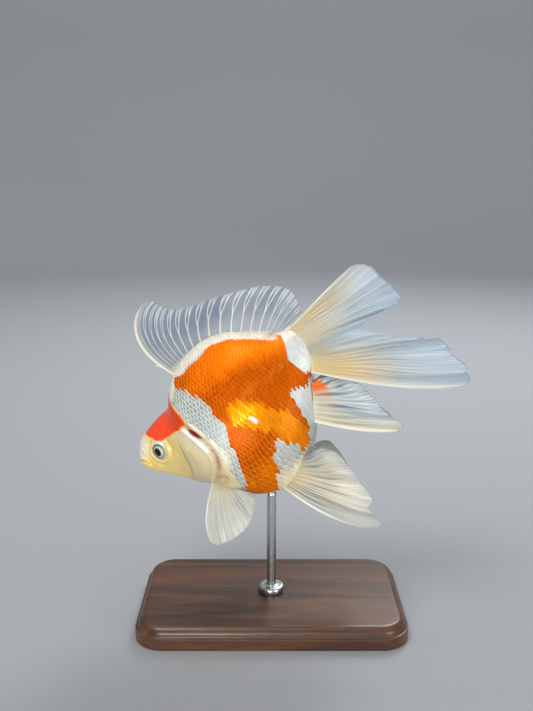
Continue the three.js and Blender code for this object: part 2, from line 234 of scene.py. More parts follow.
def noise(tree, vector, scale, detail=3, distortion=0):
    inputs = {"Vector": vector, "Scale": scale, "Detail": detail, "Distortion": distortion}
    return addNode(tree, "ShaderNodeTexNoise", None, inputs).outputs[0]


def ranged(tree, value, toLow, toHigh, low=0.0, high=1.0):
    # a value taken from the range low to high into the range toLow to toHigh
    inputs = {"Value": value, 1: low, 2: high, 3: toLow, 4: toHigh}
    return addNode(tree, "ShaderNodeMapRange", None, inputs).outputs[0]


def shaded(tree, colour, by):
    # a colour made lighter or darker by a value
    return addNode(tree, "ShaderNodeVectorMath", {"operation": "SCALE"}, {0: colour, "Scale": by}).outputs[0]


def worked(tree, operation, *values):
    inputs = dict(enumerate(values))
    return addNode(tree, "ShaderNodeMath", {"operation": operation}, inputs).outputs[0]


def bumped(tree, height, strength, distance=0.0002):
    inputs = {"Height": height, "Strength": strength, "Distance": distance}
    return addNode(tree, "ShaderNodeBump", None, inputs).outputs[0]


# ---- the fish's frame and the shape of its body ----

pose = {"roll": 6, "noseDown": 33, "yaw": 4}  # degrees: banked, nose down, and turned a little
# The ball sits behind the point "at"; its profile is (radius, height) from the front to the back
eye = {
    "at": (13.0, 9.95, 0), "facing": (-0.7, 1, 0.06), "sunk": 1.8, "gaze": (-0.5, 1, 0.06),
    "nudge": (-0.4, 0.1, 0), "rings": 90, "around": 72,
    "profile": [(0, 4.45), (0.7, 4.40), (1.4, 4.24), (2.0, 3.97), (2.45, 3.65), (2.75, 3.34), (2.95, 3.2),
                (3.2, 3.3), (3.6, 3.3), (4.0, 2.9), (4.35, 2.1), (4.5, 1.0), (4.2, -1.0), (3.0, -3.0),
                (0, -4.0)],
}

turn = np.array(Euler([math.radians(-pose[k]) for k in ("roll", "noseDown", "yaw")], "XYZ").to_matrix())
leftFacing = unit(np.array([eye["facing"][0], -eye["facing"][1], eye["facing"][2]]))
leftCentre = np.array([eye["at"][0], -eye["at"][1], eye["at"][2]]) - leftFacing * eye["sunk"]
boxLow, boxHigh = (np.array(corner) * 1000 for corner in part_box("eye_left"))
origin = (boxLow + boxHigh) / 2 - turn @ leftCentre


def toRow(points):
    # fish millimetres to the frame's metres
    return (points @ turn.T + origin) / 1000


# Each row is a section from the back to the belly:
# back x, back z, belly x, belly z, half width, share of the depth above the widest level, ridge of the back
body = np.array([
    [0.3, 0.7, -0.45, -1.3, 1.9, 0.5, 1.0],
    [1.3, 3.2, -0.2, -3.6, 4.0, 0.5, 0.95],
    [2.7, 5.9, 1.9, -6.5, 5.8, 0.5, 0.9],
    [5.2, 8.1, 6.0, -10.0, 7.9, 0.5, 0.86],
    [10.6, 10.2, 12.0, -15.5, 10.4, 0.5, 0.85],
    [17.0, 12.0, 17.2, -20.3, 13.4, 0.5, 0.86],
    [22.4, 13.2, 22.4, -24.8, 16.4, 0.52, 0.95],
    [26.6, 18.6, 28.0, -30.6, 18.7, 0.56, 1.12],
    [33.0, 24.4, 35.0, -37.2, 20.0, 0.59, 1.25],
    [41.8, 28.3, 43.4, -41.1, 20.0, 0.6, 1.3],
    [51.2, 29.4, 52.2, -41.2, 18.6, 0.59, 1.3],
    [60.4, 27.2, 60.4, -37.8, 16.0, 0.57, 1.25],
    [68.6, 22.3, 67.4, -31.6, 12.7, 0.55, 1.15],
    [75.6, 17.4, 72.8, -24.8, 9.3, 0.5, 1.05],
    [80.6, 15.3, 77.6, -15.6, 6.4, 0.46, 1.0],
    [84.4, 15.3, 82.0, -7.6, 4.6, 0.46, 1.0],
    [87.4, 13.4, 87.0, -5.0, 3.2, 0.5, 1.0],
])


def bodyPoint(t, angle):
    # t from the lips to the tail root, angle from the back round the right side. The depth goes as the
    # cosine, about the widest level, and the half width as a power of the sine, higher near the back's ridge
    row = alongTable(body, t)
    angle = np.mod(angle, circle)
    down = np.where(angle > math.pi, circle - angle, angle)
    c, share = np.cos(down), row[..., 5]
    depth = np.where(c > 0, share * (1 - c), share - (1 - share) * c)
    sharp = row[..., 6] + (1 - row[..., 6]) * ease(down, 0, 0.6 * math.pi)
    side = np.where(angle > math.pi, -1, 1)
    x = row[..., 0] + (row[..., 2] - row[..., 0]) * depth
    z = row[..., 1] + (row[..., 3] - row[..., 1]) * depth
    y = side * row[..., 4] * np.maximum(np.sin(down), 0) ** sharp
    return np.stack([x, y, z], -1)


def bodyNormal(t, angle):
    # outward: the step along the body crossed with the step round it
    step = 2e-3
    along = bodyPoint(t + step, angle) - bodyPoint(np.maximum(t - step, 0), angle)
    around = bodyPoint(t, angle + step) - bodyPoint(t, angle - step)
    return unit(np.cross(along, around))


# ---- markings and painted light: one set of rules for the skin and the scales ----

# Outlines in side view, in fish millimetres
outlines = {
    "saddle": [(32.4, 22.5), (31.6, 19.1), (33.3, 17.2), (35.4, 15.4), (38.5, 11.6), (40.4, 7.0),
               (41.6, 3.2), (42.9, -2.4), (42.5, -6.8), (41.2, -10.6), (41.2, -15.3), (40.8, -18.2),
               (38.6, -22.0), (37.4, -26.1), (34.9, -33.0), (34.6, -38.5), (37.5, -41.2), (43.5, -40.6),
               (46.9, -36.6), (51.1, -29.4), (52.0, -24.8), (54.8, -23.9), (56.4, -19.2), (57.5, -20.6),
               (59.8, -24.8), (61.8, -23.6), (62.3, -27.1), (63.4, -31.6), (67.1, -28.8), (70.3, -22.8),
               (71.1, -15.7), (71.8, -10.7), (70.9, -7.8), (74.4, -8.0), (76.9, -9.7), (79.5, -8.5),
               (81.7, -6.7), (80.1, -4.5), (78.0, -0.4), (77.5, 3.4), (78.8, 8.2), (79.7, 12.0),
               (79.4, 14.4), (75.4, 15.8), (70.8, 18.4), (65.9, 21.4), (60.9, 24.9), (56.2, 25.4),
               (51.4, 25.8), (47.1, 23.9), (42.1, 23.4), (37.4, 22.0)],
    "cap": [(8.4, 16.0), (8.6, 9.5), (10.4, 7.2), (12.6, 4.9), (15.4, 3.5), (20.1, 3.3), (24.6, 3.7),
            (28.8, 3.5), (30.2, 5.1), (29.2, 8.9), (27.6, 12.7), (26.8, 17.0), (27.4, 21.0), (20.0, 22.0)],
}
# Lines in side view: where the scales begin, the gill cover's rear edge, the creases of the head, the mouth,
# the painted golden sheen and the painted white highlight on the flank, and the lateral line
lines = {
    "scaleStart": [(24.4, 22.0), (26.8, 17.0), (28.7, 10.0), (30.5, 4.5), (33.2, -1.5), (35.5, -7.5),
                   (35.2, -13.0), (34.8, -19.0), (35.6, -25.0), (34.0, -30.0), (30.0, -36.0)],
    "gillEdge": [(23.4, 15.5), (25.0, 9.0), (28.2, 3.2), (31.6, -4.2), (33.2, -11.0), (31.2, -17.2),
                 (25.6, -22.0), (20.2, -27.5)],
    "cheekGroove": [(23.2, 1.0), (22.4, -2.6), (21.9, -6.5), (20.7, -12.2), (17.6, -16.6), (13.0, -16.4)],
    "gillSlit": [(29.7, 1.8), (31.0, -0.8), (32.4, -3.4)],
    "mouth": [(-3.0, 0.5), (0.8, 0.15), (2.5, -0.7), (3.9, -2.4)],
    "lipFold": [(-0.7, 3.6), (2.3, 3.2), (4.5, 0.8), (5.2, -2.2), (4.0, -4.8), (1.3, -5.6)],
    "paintedGoldSheen": [(50.8, -3.2), (54.6, -6.8), (59.0, -11.6), (62.6, -16.8), (64.8, -22.0), (65.2, -28.0)],
    "fleck": [(53.9, -7.0), (54.6, -8.0), (55.2, -9.4)],
    "lateral": [(38.0, -1.0), (47.0, 0.8), (57.0, 2.0), (67.0, 2.8), (78.0, 3.2), (85.0, 4.0)],
}
saddleLoop = smoothLine(outlines["saddle"], 150, True)[:-1]
capLoop = smoothLine(outlines["cap"], 70, True)[:-1]
curves = {name: smoothLine(points, 40) for name, points in lines.items()}


def behind(name, x, z):
    # signed distance behind a line that runs down the side, positive toward the tail
    line = curves[name][::-1]
    past = np.sign(x - np.interp(z, line[:, 1], line[:, 0]))
    return past * lineDistance(x, z, curves[name])[0]


def strayed(x, y, z):
    # the right side's markings are the left's pushed about, as no two sides of a fish match
    right = ease(y, -2, 2)
    return x + right * (1.8 * np.sin(z / 6 + 1) - 1.2), z + right * (2.2 * np.sin(x / 8) + 0.6)


tints = palette({
    "cream": "#F1E7CD", "belly": "#FBECC6", "backStrip": "#FBF3E2", "blush": "#EF6A50", "cheek": "#F0D888",
    "cheekRear": "#E0CA82", "chin": "#FFE07E", "snout": "#F5E8DC", "cover": "#DACBA0",
    "coverRim": "#F1F6FD", "paintedGrooveShade": "#9C8B55", "lip": "#DDB093", "sore": "#A48266", "soreDark": "#7E5348",
    "fold": "#DCCB9C", "slit": "#6A0914", "slitEdge": "#B3222A", "stripe": "#D3C7A0", "lilac": "#BFC3D8",
    "cap": "#FF4E1C", "nape": "#DC420A", "capRim": "#FFA848", "orangeLow": "#FF8200",
    "orangeTop": "#FA7600", "orangeDeep": "#D05400", "paintedGoldSheen": "#FFA208", "paintedGoldSheenRear": "#FF8E06",
    "glint": "#FFE020", "paintedHighlight": "#FFFFFF", "rimOrange": "#FF9828", "canal": "#F08A34",
    "rootTan": "#E3CF9E", "net": "#F6F3E8", "greyGill": "#86A0AA", "greyBelly": "#9CA8AE",
    "greyTail": "#C4D3DC"})
eyeTints = palette({
    "iris": "#D6D3C2", "fleck": "#AEAC9A", "pupil": "#07080B", "rim": "#E6EDF2", "rimLow": "#D9D0AC",
    "groove": "#34434F", "socket": "#DCD8B8", "back": "#DDD5B4"})


def backAndBelly(x):
    # the heights of the back's ridge and of the keel
    return [np.interp(x, body[:, k], body[:, k + 1]) for k in (0, 2)]


def trunkColours(x, y, z, chance, soft=0.2):
    # the body's two-tone colour: orange where the saddle is, else white; `chance` varies each place a little.
    # The orange also holds painted light: lighter on top as if lit from above, a painted golden sheen and a
    # painted glint on the flank
    backZ, bellyZ = backAndBelly(x)
    inside = insideLoop(*strayed(x, y, z), saddleLoop)
    ridge = ease(z, backZ - 3.2, backZ - 2.8) * ease(x, 33, 37) * (1 - ease(x, 76, 79))
    saddle = ease(inside, -soft, soft) * (1 - ridge) * ease(z, bellyZ + 0.7, bellyZ + 1.4)
    # `lit`: the top of the flank, where the orange is painted lighter, painted light from above
    lit = ease(z + 0.35 * np.maximum(x - 62, 0), 8, 16) * (0.35 + 0.65 * ease(x, 34, 44))
    # the golden band along the flank and the yellow glint spot in it are painted highlights: a painted sheen
    # of light on the scales
    toPaintedSheen, alongPaintedSheen = lineDistance(x, z, curves["paintedGoldSheen"])
    toPaintedSheen = toPaintedSheen + 1.2 * waves(x, z, 7, 6) + 2.0 * (chance - 0.5)
    flecks = ease(waves(x, z, 2.2, 9) + 1.1 * (chance - 0.5), -0.25, 0.35)
    canal = lineDistance(x, z, curves["lateral"])[0]
    orange = layered(
        # orangeTop laid over orangeDeep by `lit` is painted light from above
        tints, "orangeDeep", ("orangeTop", lit + 0.3 * (chance - 0.5)),
        ("orangeLow", ease(-z, 20, 31)),
        # the golden band: painted highlight
        (blend(tints["paintedGoldSheen"], tints["paintedGoldSheenRear"], 1.6 * alongPaintedSheen), 1 - ease(toPaintedSheen, 3.4, 5.6)),
        # the yellow glint spot: painted highlight
        ("glint", flecks * bell(np.hypot((x - 52.6) / 1.3, z + 4.8), 3.4)),
        ("canal", 0.4 * bell(canal, 0.7) * ease(x, 50, 56)))
    white = layered(
        tints, "cream", ("belly", ease(-z, 30, 37)),
        ("backStrip", ease(z, backZ - 5, backZ - 3)), ("rootTan", 0.6 * ease(x, 81, 87)))
    made = layered(
        tints, white, (orange, saddle), ("blush", 0.85 * bell(np.hypot((x - 76.5) / 1.6, z - 16.3), 1.3)))
    return made, saddle, inside, lit


def greyUnder(x, z):
    # the blue-grey of a white scale's middle, paler toward the tail, and how far belly and back hide it
    backZ = backAndBelly(x)[0]
    grey = layered(
        tints, "greyGill", ("greyBelly", ease(-z, 4, 18)), ("greyTail", ease(x, 68, 76)))
    return grey, np.maximum(ease(-z, 31, 36), ease(z, backZ - 5.5, backZ - 3.5))


def skinColours(p):
    # the trunk's colours, and over them the face, the bare skin behind the gills, slit, cap and lips
    x, y, z = np.moveaxis(p, -1, 0)
    trunk = trunkColours(x, y, z, 0.5 + 0.3 * waves(x, z, 6, 3))[0]
    gill = behind("gillEdge", x, z)
    groove, down = lineDistance(x, z, curves["cheekGroove"])
    grooveX = np.interp(z, *curves["cheekGroove"][::-1, ::-1].T)
    low, tilt = 1 - ease(z, 2.6, 3.6), 0.06 * z
    face = layered(
        tints, "cheek", ("cheekRear", ease(x, 14, 20)),
        ("chin", ease(backAndBelly(x)[1] - z, -9, -1.5)), ("chin", 0.8 * (1 - ease(x, 4, 11))),
        ("snout", (1 - ease(x, 4.5, 9.5)) * ease(z, -1.5, 3.5)),
        ("snout", 0.6 * ease(z, 2, 6) * (1 - ease(x, 7, 11))),
        ("cover", ease(x - grooveX, -0.5, 1.5) * ease(4 - z, 0, 2)),
        # the olive line along the cheek's groove is painted shade in the crease
        ("paintedGrooveShade", (0.15 * bell(groove, 1.4) + 0.5 * bell(groove, 0.4)) * bell(down - 0.45, 0.3)),
        ("lilac", 0.4 * bell(gill + 2.4, 0.6) * ease(z, -18, -9) * low),
        # the pale band along the gill cover's edge is partly its own pearly white and partly a painted
        # highlight on the raised rim
        ("coverRim", ease(z, -11, -8) * low * ease(gill, tilt - 1.35, tilt - 0.75)))
    swirl = np.hypot(x - 30.2, z + 23.2)
    uneven, blotched = 0.55 + 0.45 * waves(x, z, 1.9, 13), ease(waves(x, z, 1.7, 11), 0.1, 0.4)
    root = layered(
        tints, "stripe", ("fold", ease(-z, 6, 10)), ("sore", 0.5 * ease(z, 0.5, 3.5)),
        ("sore", (0.75 + 0.25 * waves(x, z, 2.6, 8)) * bell(gill - 1.1, 1.4) * bell(z + 14.5, 6.5)),
        ("soreDark", 0.8 * blotched * bell(gill - 0.9, 0.8) * bell(z + 13, 5)),
        ("sore", 0.75 * uneven * bell(swirl - 1.4, 1.3)),
        ("soreDark", 0.7 * uneven * bell(swirl - 2.3, 0.7) * ease(x + z, 7.6, 9.4)))
    slit, along = lineDistance(x, z, curves["gillSlit"])
    slit = slit + 1.8 * abs(along - 0.5) ** 2
    inCap = insideLoop(*strayed(x, y, z), capLoop) + 0.3 * waves(x, z, 5, 5)
    red = layered(
        tints, "cap", ("nape", ease(x, 19, 27)),
        ("capRim", bell(inCap - 0.2, 0.35) * ease(x, 25.5, 27)))
    lips = lineDistance(x, z, curves["mouth"])[0]
    head = blend(face, root, ease(gill, -0.15, 0.15))
    return np.clip(layered(
        tints, trunk, (head, 1 - ease(behind("scaleStart", x, z), -0.6, 0.6)),
        ("slitEdge", 1 - ease(slit, 0.75, 1.2)), ("slit", 1 - ease(slit, 0.35, 0.75)),
        (red, ease(inCap, -0.3, 0.3)),
        ("lip", 0.5 * bell(lips, 0.35) * (1 - ease(x, 3, 4)))), 0, 1)


# ---- skin: one surface from the lips to the tail root ----

# Rings and points, heights in mm, the unwrap's margin, the nostril's place and degrees from the back, the
# gill cover's rim, gap and shoulder as (height, behind its edge, width), and the fins' fleshy roots as
# (x, z, size, height)
skin = {
    "headRings": 226, "headShare": 0.5, "rings": 258, "around": 366, "crowd": 0.2, "capRings": 7,
    "under": 0.5, "capDome": 0.6, "margin": 0.02, "nostril": (0.19, 56),
    "cover": [(0.25, -1.1, 0.7), (-0.7, 0.7, 0.7), (0.35, 3.0, 1.3)],
    "roots": [(28.6, -25.0, 3.4, 1.2), (53, -36.0, 4.5, 0.3), (76.5, -15.5, 4.0, 0.2)],
}


def eyeFrame(side):
    # the ball's middle and the way its pupil looks
    sides = np.array([1, side, 1])
    centre = eye["at"] - unit(np.array(eye["facing"])) * eye["sunk"] + eye["nudge"]
    return centre * sides, unit(np.array(eye["gaze"])) * sides


def skinRelief(p):
    # how far the skin stands out from the plain body, in mm: folds, rims and grooves as bells about lines
    x, y, z = np.moveaxis(p, -1, 0)
    flank = ease(abs(y), 1.5, 4)
    gill = behind("gillEdge", x, z)
    groove, grooveAlong = lineDistance(x, z, curves["cheekGroove"])
    slit, slitAlong = lineDistance(x, z, curves["gillSlit"])
    mouth = lineDistance(x, z, curves["mouth"])[0]
    fold, foldAlong = lineDistance(x, z, curves["lipFold"])
    relief = -skin["under"] * ease(behind("scaleStart", x, z), -0.5, 2)
    cover = 0.7 * ease(-gill, 0, 1.0) * (1 - ease(-gill, 6, 11))
    for height, place, width in skin["cover"]:
        cover = cover + height * bell(gill - place, width)
    relief += flank * cover * ease(z, -24, -18) * (1 - ease(z, 2.5, 6))
    ends = ease(grooveAlong, 0, 0.15) - ease(grooveAlong, 0.6, 1)
    relief -= 0.32 * flank * bell(groove, 0.6) * ends
    relief -= 0.8 * flank * bell(slit + 1.8 * abs(slitAlong - 0.5) ** 2, 0.95)
    relief += (1 - ease(x, 3.1, 5.0)) * (0.3 * bell(mouth - 1.1, 0.7) - 0.6 * bell(mouth, 0.34))
    relief -= 0.2 * bell(fold, 0.5) * flank * bell(foldAlong - 0.5, 0.4)
    for side in (-1, 1):
        centre, facing = eyeFrame(side)
        away = p - centre
        out = (away * facing).sum(-1)
        q = np.sqrt(np.maximum((away**2).sum(-1) - out**2, 0))  # distance from the eye's axis
        socket = 0.75 * bell(q - 4.6, 1.0) - 3.2 * (1 - ease(q, 3.3, 4.1)) - 0.22 * bell(q - 6.4, 0.7)
        place, turned = skin["nostril"]
        nostril = bodyPoint(np.array(place), np.array(math.radians(turned * side)))
        pit, flap = (np.linalg.norm(p - nostril - shift, axis=-1) for shift in ((0, 0, 0), (-0.5, 0, -0.2)))
        relief += (out > 0) * socket
        relief += 0.12 * bell(pit - 1.0, 0.45) - 0.4 * bell(pit, 0.5) + 0.1 * bell(flap, 0.4)
    for px, pz, size, height in skin["roots"]:
        relief += height * flank * bell(np.hypot(x - px, z - pz), size)
    return relief + 0.10 * waves(x, z, 5, 1) + 0.05 * waves(x, z + y, 2.2, 2)


def onUnwrap(t):
    return skin["margin"] + (1 - 2 * skin["margin"]) * t


def makeSkin(material):
    # rings of the body, closed at each end by rings that shrink as a cosine to a pole
    rings = skin["rings"]
    rows = np.interp(np.arange(rings), (0, skin["headRings"], rings - 1), (0, skin["headShare"], 1))
    share = np.arange(skin["around"] + 1) / skin["around"]
    angles = circle * share + skin["crowd"] * np.sin(2 * circle * share)  # closer together on the flanks
    t, angle = np.meshgrid(rows, angles[:-1], indexing="ij")
    points = bodyPoint(t, angle)
    fall = np.linspace(0, 1, skin["capRings"] + 1)[1:, None, None] * math.pi / 2

    def closing(ring, way):
        middle = ring.mean(0)
        return middle + np.cos(fall) * (ring - middle) + np.sin(fall) * np.array(way) * skin["capDome"]

    front, rear = closing(points[0], (-1.0, 0, -0.1))[::-1], closing(points[-1], (1.0, 0, 0))
    points = np.concatenate([front, points, rear])
    normals = gridNormals(points, True)
    normals[0], normals[-1] = (-1, 0, 0), (1, 0, 0)
    points = points + normals * skinRelief(points)[..., None]
    for end in (0, -1):
        points[end] = points[end].mean(0)
    rowCount, columns = points.shape[:2]
    faces = gridFaces(rowCount, columns, True)
    i, j = faces[:, 0] // columns, faces[:, 0] % columns
    # the unwrap: u is the angle, v the place along the body, with a margin at each end for the closing rings
    edge = skin["margin"] * np.arange(skin["capRings"]) / skin["capRings"]
    level = np.concatenate([edge, onUnwrap(rows), 1 - edge[::-1]])
    u = np.stack([angles[j], angles[j], angles[j + 1], angles[j + 1]], 1) / circle
    v = np.stack([level[i], level[i + 1], level[i + 1], level[i]], 1)
    unwrap = np.stack([u, v], -1)
    # each pole's row becomes one vertex, so the quads there become triangles
    middle = slice(columns, -columns)
    packed, tint = (np.vstack([flat[:1], flat[middle], flat[-1:]]) for flat in (
        points.reshape(-1, 3), skinColours(points).reshape(-1, 3)))
    index = np.clip(np.arange(rowCount * columns) - columns + 1, 0, len(packed) - 1)
    ends = ((slice(0, columns), [0, 1, 2]), (slice(-columns, None), [0, 1, 3]))
    triangles = np.vstack([index[faces[part][:, three]] for part, three in ends])
    corners = [unwrap[part][:, three].reshape(-1, 2) for part, three in ends]
    corners.append(unwrap[middle].reshape(-1, 2))
    return makePiece("skin", toRow(packed), [triangles, index[faces[middle]]], material,
                     ("head", "trunk", "tail_stem", "gill_cover_left", "gill_cover_right"), opaque(tint),
                     {"OFBake": np.concatenate(corners)})


# ---- scales: overlapping plates in rows along the body ----

# Spacing tables are (place along the body, mm): plates high and low on the flank, and the rows
scales = {
    "pitchHigh": [(0.40, 1.3), (0.5, 1.45), (0.6, 1.65), (0.75, 1.65), (0.85, 1.45), (1.0, 1.2)],
    "pitchLow": [(0.40, 1.8), (0.5, 1.95), (0.55, 3.0), (0.6, 3.7), (0.66, 3.3), (0.72, 2.5), (0.8, 1.7),
                 (1.0, 1.3)],
    "rowGap": [(0.40, 1.95), (0.48, 2.15), (0.55, 2.15), (0.62, 2.1), (0.7, 2.0), (0.78, 1.85), (0.86, 1.5),
               (1.0, 1.2)],
    "rows": 24, "spread": 0.025, "from": 0.40, "to": 0.985, "shear": (4, 20), "long": 2.3, "root": -0.38,
    "tip": 0.03, "thick": 0.08, "dome": 0.05, "tuck": 1.8, "tilt": 0.03, "uneven": 0.08, "roundness": 0.78,
    "sides": 14, "rings": [0.55, 0.87, 1.0], "patch": 0.003, "steps": 800, "limit": 0.985, "inset": 0.2,
}


def arcTables(count=500, steps=240, shares=161):
    # for one side: the arc length up and down from the widest level, and the angle at each share of it
    t = np.linspace(0, 1, count)
    angle = np.linspace(0, math.pi, steps)
    points = bodyPoint(t[:, None] + 0 * angle, angle + 0 * t[:, None])
    steps = np.linalg.norm(np.diff(points, axis=1), axis=2)
    travel = np.concatenate([np.zeros((count, 1)), steps.cumsum(1)], 1)
    half = np.array([np.interp(math.pi / 2, angle, row) for row in travel])
    up, down = half, travel[:, -1] - half
    share = np.linspace(-1, 1, shares)
    wanted = half[:, None] - share * np.where(share >= 0, up[:, None], down[:, None])
    angles = np.array([np.interp(w, row, angle) for w, row in zip(wanted, travel)])
    return up, down, angles


arcUp, arcDown, arcAngles = arcTables()


def atArc(t, arc):
    # the angle round the body at an arc distance above (+) or below (-) the widest level: the table's four
    # nearest entries, each by its closeness
    rows, columns = arcAngles.shape
    up, down = (np.interp(t, np.linspace(0, 1, rows), reach) for reach in (arcUp, arcDown))
    share = np.clip(np.where(arc >= 0, arc / up, arc / down), -scales["limit"], scales["limit"])
    i, j = np.clip(t, 0, 1) * (rows - 1), (share + 1) / 2 * (columns - 1)
    i0, j0 = np.minimum(i.astype(int), rows - 2), np.minimum(j.astype(int), columns - 2)
    fi, fj = i - i0, j - j0
    low, high = (arcAngles[k, j0] * (1 - fj) + arcAngles[k, j0 + 1] * fj for k in (i0, i0 + 1))
    return low * (1 - fi) + high * fi


def scaleColumns(table, count):
    # where along the body each column falls: the running sum of 1 / pitch, shared out evenly over the columns
    t = np.linspace(scales["from"], scales["to"], scales["steps"])
    midLine = bodyPoint(t, np.full(len(t), math.pi / 2))
    step = np.linalg.norm(np.diff(midLine, axis=0), axis=1) / np.interp(t[1:], *zip(*table))
    total = np.concatenate([[0], step.cumsum()])
    count = count or int(round(total[-1] * 2)) + 1
    return np.interp(np.linspace(0, total[-1], count), total, t)


def scalePlaces():
    # rows spread toward the belly, each half a pitch behind the last; columns are wider apart low down
    high = scaleColumns(scales["pitchHigh"], None)
    low = scaleColumns(scales["pitchLow"], len(high))
    rows = np.arange(-scales["rows"], scales["rows"] + 1)
    column, row = np.meshgrid(np.arange(len(high)), rows, indexing="ij")
    odd = (column + row) % 2 == 0
    column, row = column[odd], row[odd]
    spread = np.where(row < 0, row - scales["spread"] * row.astype(float) ** 2, row)
    arc = (spread + 0.3) * np.interp(high[column], *zip(*scales["rowGap"]))
    sink = ease(-arc, *scales["shear"])
    place = high[column] * (1 - sink) + low[column] * sink
    gap = np.interp(place, *zip(*scales["rowGap"])) * (1 - np.minimum(row, 0) * 2 * scales["spread"])
    pitch = (np.gradient(high)[column] * (1 - sink) + np.gradient(low)[column] * sink) * 2
    step = 1e-3
    ahead, here, back = (bodyPoint(place + shift, atArc(place, arc)) for shift in (step, 0, -step))
    speed = np.linalg.norm(ahead - back, axis=-1) / step / 2
    up, down = (np.interp(place, np.linspace(0, 1, len(a)), a) for a in (arcUp, arcDown))
    fits = (arc < up - scales["inset"] * gap) & (arc > -down + scales["inset"] * gap)
    fits = fits & (behind("scaleStart", here[:, 0], here[:, 2]) > -0.3)
    return place[fits], arc[fits], gap[fits], (pitch * speed)[fits], speed[fits]


def plateColours(side, base, ringU, radius, pitch, chance, rng):
    # each plate takes its middle's marking, for a border that follows the scales, but near the back its own
    # places'; a white plate has a grey middle and an orange one a deeper middle, and each has a lighter rim
    backZ = backAndBelly(base[..., 0])[0]
    own = (0.9 * ease(base[..., 2], backZ - 7, backZ - 5))[..., None]
    seen = own * base + (1 - own) * base[:, :1]
    x, y, z = seen[..., 0] + 0.3 * (1 - own[..., 0]) * pitch[:, None], seen[..., 1], seen[..., 2]
    tint, saddle, inside, lit = trunkColours(x, y, z, chance, 0.02)
    grey, pale = greyUnder(seen[..., 0], z)
    # behind the gills the grey fades out, but for the plates beside the orange
    faded = (1 - ease(x, 41, 45)) * ease(-z, 7, 13) * ease(-inside, 2.5, 4.5)
    pale = np.maximum(pale, 0.85 * faded)
    low = ease(-z, 5, 13)
    # an orange middle is painted less deep where `lit`: painted light from above
    deep = (0.87 + 0.09 * lit - 0.25 * low * chance)[..., None]
    middle = blend(blend(grey, tint, 0.2 + 0.8 * pale), tint * deep, saddle)
    rim = blend(tint, tints["rimOrange"], 0.3 + 0.3 * chance + 0.3 * low)
    edge = blend(tints["net"], rim, saddle)
    colours = blend(middle, edge, 0.25 * (radius > 0.8) + 0.75 * (radius > 0.95) + 0 * chance)
    colours = colours * (0.93 + 0.14 * rng.uniform(0, 1, (len(base), 1, 1)))
    # each plate is painted darker toward its root: painted shade under the free edge of the plate in front
    colours = colours * (1 - 0.35 * ease(-ringU, 0.1, 0.8))[None, :, None]
    # on the left flank, part of a plate along the fleck line is painted white: a painted highlight
    if side < 0:
        fleck = lineDistance(base[..., 0], base[..., 2], curves["fleck"])[0]
        colours = blend(colours, tints["paintedHighlight"], 1 - ease(fleck, 0.4, 0.9))
    return opaque(np.clip(colours, 0, 1))


def makeScales(side, material):
    # each plate: rings of an oval that rise from the root to the free edge, domed across, with an underside
    place, arc, gap, pitch, speed = scalePlaces()
    rng = np.random.default_rng(7 if side < 0 else 8)
    count, sides, rings = len(place), scales["sides"], scales["rings"]
    phi = np.arange(sides) / sides * circle
    swell = lambda a: np.sign(a) * abs(a) ** scales["roundness"]
    ringU, ringV = (np.concatenate([[0.0]] + [r * swell(way(phi)) for r in rings + [0.99]])
                    for way in (np.cos, np.sin))
    radius = np.concatenate([[0.0], np.repeat(rings + [1.0], sides)])
    under = np.arange(len(ringU)) > len(rings) * sides
    size = 1 + scales["uneven"] * rng.uniform(-1, 1, (count, 1))
    along = (ringU * pitch[:, None] * scales["long"] / 2 - 0.2 * pitch[:, None]) * size
    tall = 1.0 + 0.14 * ease(arc, -13, -4)
    across = ringV * (gap * tall)[:, None] * size * (1 - 0.12 * ringU)
    t = np.clip(place[:, None] + along / speed[:, None], 0.02, 1)
    angle = atArc(t, arc[:, None] + across)
    angle = angle if side > 0 else circle - angle
    base = bodyPoint(t, angle)
    rise = scales["root"] + (scales["tip"] - scales["root"]) * ((ringU + 1) / 2) ** 0.9
    tilt = scales["tilt"] * rng.uniform(-1, 1, (count, 1)) * ringU
    tuck = scales["tuck"] * ease(-behind("scaleStart", base[..., 0], base[..., 2]), 0.2, 1.6)
    dome = scales["dome"] * (1 - ringV**2) - scales["dome"] * radius**4
    height = rise + dome - under * scales["thick"] + tilt - tuck
    points = base + bodyNormal(t, angle) * height[..., None]
    chance = rng.uniform(0, 1, (count, 1)) + 0 * ringU
    colours = plateColours(side, base, ringU, radius, pitch, chance, rng)
    step = np.arange(sides)
    fan = np.stack([0 * step, 1 + step, 1 + (step + 1) % sides], 1)
    bands = gridFaces(len(rings) + 1, sides, True) + 1
    floor = 1 + len(rings) * sides + step[::-1][None]
    if side < 0:  # the plate's own u runs back and its v down the right flank, so here its faces turn over
        fan, bands, floor = fan[:, ::-1], bands[:, ::-1], floor[:, ::-1]
    offset = (np.arange(count) * len(ringU))[:, None, None]
    faces = [(f[None] + offset).reshape(-1, f.shape[1]) for f in (fan, bands, floor)]
    patch = scales["patch"] / 2
    bake = [angle[:, :1] / circle + ringV * patch, onUnwrap(place)[:, None] + ringU * patch]
    plate = [ringU + 0 * angle, ringV + 0 * angle]
    corners = np.concatenate([f.ravel() for f in faces])
    maps = {key: np.stack(uv, -1).reshape(-1, 2)[corners] for key, uv in (("OFBake", bake), ("plate", plate))}
    name = "scales_left" if side < 0 else "scales_right"
    points = toRow(points.reshape(-1, 3))
    return makePiece(name, points, faces, material, (), colours.reshape(-1, 4), maps)


# ---- fins: thin sheets on a fan of rays ----

